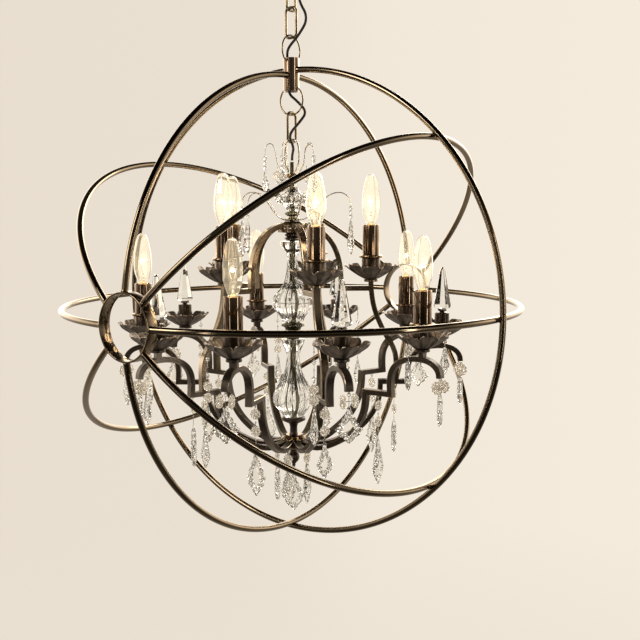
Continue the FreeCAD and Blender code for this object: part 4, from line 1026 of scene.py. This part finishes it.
# ------------------------------------------------------------------ cords: control points in metres, as the part's routes
UPPER = [(.02447, .00763, -.0325), (.02447, .00763, -.054), (.01921, -.00026, -.078), (.01824, -.00228, -.101), (.03166, .00815, -.130), (.0207, -.00544, -.160),
         (.0014, -.01158, -.180), (-.00583, -.0039, -.193), (-.00579, -.00298, -.204), (-.00597, -.00274, -.213)]
LOWER = [(-.00188, -.00475, -.2484), (-.00182, -.00483, -.257), (.00895, .00316, -.268), (.02438, .01263, -.287), (.02026, -.00325, -.306), (.00631, -.01789, -.328),
         (.01258, -.01048, -.349), (.00402, -.00321, -.359), (.00048, -.00013, -.366), (.00042, -.00005, -.371)]


def cord_curve(name, pts, dia, body, node):
    cu = bpy.data.curves.new(name, "CURVE")
    cu.dimensions = "3D"
    cu.resolution_u = 16
    cu.bevel_depth = dia / 2
    cu.bevel_resolution = 6
    cu.use_fill_caps = True
    sp_ = cu.splines.new("NURBS")
    sp_.points.add(len(pts) - 1)
    for p, q in zip(sp_.points, pts):
        p.co = (*q, 1.0)
    sp_.order_u = 3
    sp_.use_endpoint_u = True
    cu.materials.append(CORD)
    o = bpy.data.objects.new(name, cu)
    bpy.context.scene.collection.objects.link(o)
    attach(o, body)
    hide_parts(node)
    return o


c1 = cord_curve("cord_upper_run", UPPER, 0.0046, "lower_link", "upper_cord")
c2 = cord_curve("cord_lower_run", LOWER, 0.0046, "hanger_link", "lower_cord")

# ------------------------------------------------------------------ finish of the CAD nodes that stay
SHOWN = {
    "chain_link_upper": CHAIN, "chain_link_lower": CHAIN, "inner_link": CHAIN, "ceiling_bracket": STEEL, "canopy": BRONZE, "canopy_collar": BRONZE_RIM,
    "canopy_loop": CHAIN, "cord_bushing": BUSH, "hub_sleeve": SLEEVE, "hub_rings": CHAIN, "column_loop": BRIGHT, "centre_rod": SPOOL, "crown_disc": BRONZE_RIM,
    "gallery_discs": SPOOL, "upper_arm_hub": ARM_UP, "beaded_collar": DRUM, "metal_spool": SPOOL, "base_disc": IRON, "lower_arm_hub": BRONZE_RIM, "bottom_finial": IRON,
    "crown_wires": BRIGHT,
}
for n, m in SHOWN.items():
    o = nodes[n]
    o.data.materials.clear()
    o.data.materials.append(m)
    for p in o.data.polygons:
        p.material_index = 0

# ------------------------------------------------------------------ studio
bpy.context.scene.view_settings.view_transform = "Standard"
bpy.context.scene.view_settings.look = "None"
world = bpy.data.worlds.new("Studio")
bpy.context.scene.world = world
world.use_nodes = True
nt = world.node_tree
nt.nodes.clear()
wo = nt.nodes.new("ShaderNodeOutputWorld")
tc = nt.nodes.new("ShaderNodeTexCoord")
sep = nt.nodes.new("ShaderNodeSeparateXYZ")
nt.links.new(tc.outputs["Generated"], sep.inputs[0])


def dot_with(v):
    n = nt.nodes.new("ShaderNodeVectorMath")
    n.operation = "DOT_PRODUCT"
    n.inputs[1].default_value = v
    nt.links.new(tc.outputs["Generated"], n.inputs[0])
    h = nt.nodes.new("ShaderNodeMath")
    h.operation = "MULTIPLY_ADD"
    h.inputs[1].default_value = 0.5
    h.inputs[2].default_value = 0.5
    nt.links.new(n.outputs["Value"], h.inputs[0])
    return h.outputs[0]


back = Vector((ahead.x, ahead.y, 0)).normalized()
side = dot_with(back)
zed = dot_with(Vector((0, 0, 1)))
across = dot_with(right)
H = ramp(nt, side, [(0.0, grey(0.055)), (0.20, grey(0.09)), (0.33, grey(0.30)), (0.40, grey(0.13)), (0.54, grey(0.55)), (0.66, grey(1.15)), (0.82, grey(1.3)), (1.0, grey(1.35))])
Vv = ramp(nt, zed, [(0.0, grey(0.30)), (0.26, grey(0.20)), (0.40, grey(0.35)), (0.47, grey(1.0)), (0.55, grey(1.5)), (0.66, grey(1.35)), (0.74, grey(0.30)), (0.80, grey(0.02)), (1.0, grey(0.01))])


def blend(a, b_, mode="MULTIPLY", fac=1.0):
    x = nt.nodes.new("ShaderNodeMix")
    x.data_type = "RGBA"
    x.blend_type = mode
    x.inputs[0].default_value = fac
    for v, k in ((a, 6), (b_, 7)):
        if isinstance(v, tuple):
            x.inputs[k].default_value = (*v, 1.0)
        else:
            nt.links.new(v, x.inputs[k])
    return x.outputs[2]


studio = nt.nodes.new("ShaderNodeBackground")
nt.links.new(blend(blend(H, Vv), (1.40, 1.25, 1.05)), studio.inputs["Color"])
wallc = ramp(nt, across, [(0.30, (0.812, 0.727, 0.617)), (0.47, (0.822, 0.745, 0.640)), (0.53, (0.888, 0.806, 0.693)), (0.66, (0.913, 0.832, 0.720))])
wall = nt.nodes.new("ShaderNodeBackground")
nt.links.new(wallc, wall.inputs["Color"])
spk = nt.nodes.new("ShaderNodeTexNoise")
spk.inputs["Scale"].default_value = 2.6
spk.inputs["Detail"].default_value = 2.0
nt.links.new(tc.outputs["Generated"], spk.inputs["Vector"])
gaps = ramp(nt, spk.outputs["Fac"], [(0.445, grey(0.002)), (0.468, grey(0.18)), (0.484, grey(0.95)), (0.57, grey(1.10)), (0.62, grey(1.7))])
ahead_c = ramp(nt, side, [(0.0, grey(1.0)), (0.11, grey(0.85)), (0.21, grey(0.24)), (0.30, grey(0.16)), (0.46, grey(0.58)), (0.60, grey(1.12)), (0.78, grey(1.14)), (1.0, grey(1.0))])
near = ramp(nt, side, [(0.0, grey(1.0)), (0.05, grey(1.0)), (0.14, grey(0.0)), (0.86, grey(0.0)), (0.95, grey(1.0))])
calm = nt.nodes.new("ShaderNodeMix")
calm.data_type = "RGBA"
nt.links.new(near, calm.inputs[0])
nt.links.new(gaps, calm.inputs[6])
calm.inputs[7].default_value = (1.0, 1.0, 1.0, 1.0)
seen = nt.nodes.new("ShaderNodeBackground")
nt.links.new(blend(blend(calm.outputs[2], ahead_c), wallc), seen.inputs["Color"])
lp = nt.nodes.new("ShaderNodeLightPath")
mixw = nt.nodes.new("ShaderNodeMixShader")
nt.links.new(lp.outputs["Is Camera Ray"], mixw.inputs[0])
thru = nt.nodes.new("ShaderNodeMixShader")
nt.links.new(lp.outputs["Is Transmission Ray"], thru.inputs[0])
nt.links.new(studio.outputs[0], thru.inputs[1])
nt.links.new(seen.outputs[0], thru.inputs[2])
nt.links.new(thru.outputs[0], mixw.inputs[1])
nt.links.new(wall.outputs[0], mixw.inputs[2])
nt.links.new(mixw.outputs[0], wo.inputs["Surface"])


def area(name, at_, aim, sx, sy, watts, colour):
    l = bpy.data.lights.new(name, "AREA")
    l.shape = "RECTANGLE"
    l.size, l.size_y = sx, sy
    l.energy = watts
    l.color = colour
    o = bpy.data.objects.new(name, l)
    bpy.context.scene.collection.objects.link(o)
    d = (Vector(aim) - Vector(at_)).normalized()
    o.matrix_world = Matrix.Translation(at_) @ d.to_track_quat("-Z", "Y").to_matrix().to_4x4()
    return o


mid = Vector((0, 0, -0.62))
sidev = Vector((right.x, right.y, 0)).normalized()
area("key", mid - sidev * 2.2 - back * 1.3 + Vector((0, 0, 1.3)), mid, 0.8, 1.2, 24.0, (1.0, 0.95, 0.87))
area("strip_right", mid + sidev * 2.0 - back * 1.5 + Vector((0, 0, 0.1)), mid, 0.16, 2.0, 9.0, (1.0, 0.96, 0.90))
area("strip_left", mid - sidev * 1.5 - back * 2.1 + Vector((0, 0, 0.0)), mid, 0.12, 2.0, 3.6, (1.0, 0.95, 0.88))
area("rim", mid + back * 2.2 + sidev * 1.2 + Vector((0, 0, 1.1)), mid, 1.6, 1.0, 26.0, (1.0, 0.95, 0.86))
for k, q in enumerate(bulbs):
    l = bpy.data.lights.new("glow_%d" % k, "POINT")
    l.energy = 0.26
    l.color = (1.0, 0.79, 0.53)
    l.shadow_soft_size = 0.035
    o = bpy.data.objects.new("glow_%d" % k, l)
    o.visible_transmission = False
    o.visible_camera = False
    bpy.context.scene.collection.objects.link(o)
    o.location = (q[0] * 0.001, q[1] * 0.001, q[2] * 0.001)

sc = bpy.context.scene
sc.use_nodes = True
ct = sc.node_tree
ct.nodes.clear()
rl = ct.nodes.new("CompositorNodeRLayers")
gl = ct.nodes.new("CompositorNodeGlare")
gl.glare_type = "BLOOM"
for k, v in (("Threshold", 1.6), ("Strength", 0.13), ("Size", 0.30), ("Smoothness", 0.2)):
    if k in gl.inputs:
        gl.inputs[k].default_value = v
co = ct.nodes.new("CompositorNodeComposite")
ct.links.new(rl.outputs["Image"], gl.inputs["Image"])
ct.links.new(gl.outputs["Image"], co.inputs["Image"])

# floor: a pale disc far under the object that fades into the room
me = bpy.data.meshes.new("floor")
n = 96
V = [(0, 0, -2.1)] + [(3.4 * math.cos(2 * math.pi * i / n), 3.4 * math.sin(2 * math.pi * i / n), -2.1) for i in range(n)]
me.from_pydata(V, [], [(0, 1 + i, 1 + (i + 1) % n) for i in range(n)])
floor = bpy.data.objects.new("floor", me)
bpy.context.scene.collection.objects.link(floor)
m, fnt, fout = new_mat("floor_paint")
ftc = add(fnt, "ShaderNodeTexCoord")
ln = add(fnt, "ShaderNodeVectorMath", operation="LENGTH")
flat_v = add(fnt, "ShaderNodeVectorMath", operation="MULTIPLY")
flat_v.inputs[1].default_value = (1, 1, 0)
fnt.links.new(ftc.outputs["Object"], flat_v.inputs[0])
fnt.links.new(flat_v.outputs["Vector"], ln.inputs[0])
fade = ramp(fnt, ln.outputs["Value"], [(0.0, grey(1.0)), (0.35, grey(0.8)), (1.0, grey(0.0))])
dv = add(fnt, "ShaderNodeMath", operation="DIVIDE")
dv.inputs[1].default_value = 3.3
fnt.links.new(ln.outputs["Value"], dv.inputs[0])
fnt.links.new(dv.outputs[0], fade.node.inputs["Fac"])
fem = add(fnt, "ShaderNodeEmission", Strength=1.0)
fem.inputs["Color"].default_value = (0.83, 0.75, 0.64, 1.0)
ftr = add(fnt, "ShaderNodeBsdfTransparent")
fmx = add(fnt, "ShaderNodeMixShader")
fnt.links.new(fade, fmx.inputs[0])
fnt.links.new(ftr.outputs[0], fmx.inputs[1])
fnt.links.new(fem.outputs[0], fmx.inputs[2])
fnt.links.new(fmx.outputs[0], fout.inputs["Surface"])
me.materials.append(m)
floor.visible_diffuse = False
floor.visible_glossy = False
floor.visible_transmission = False
floor.visible_shadow = False
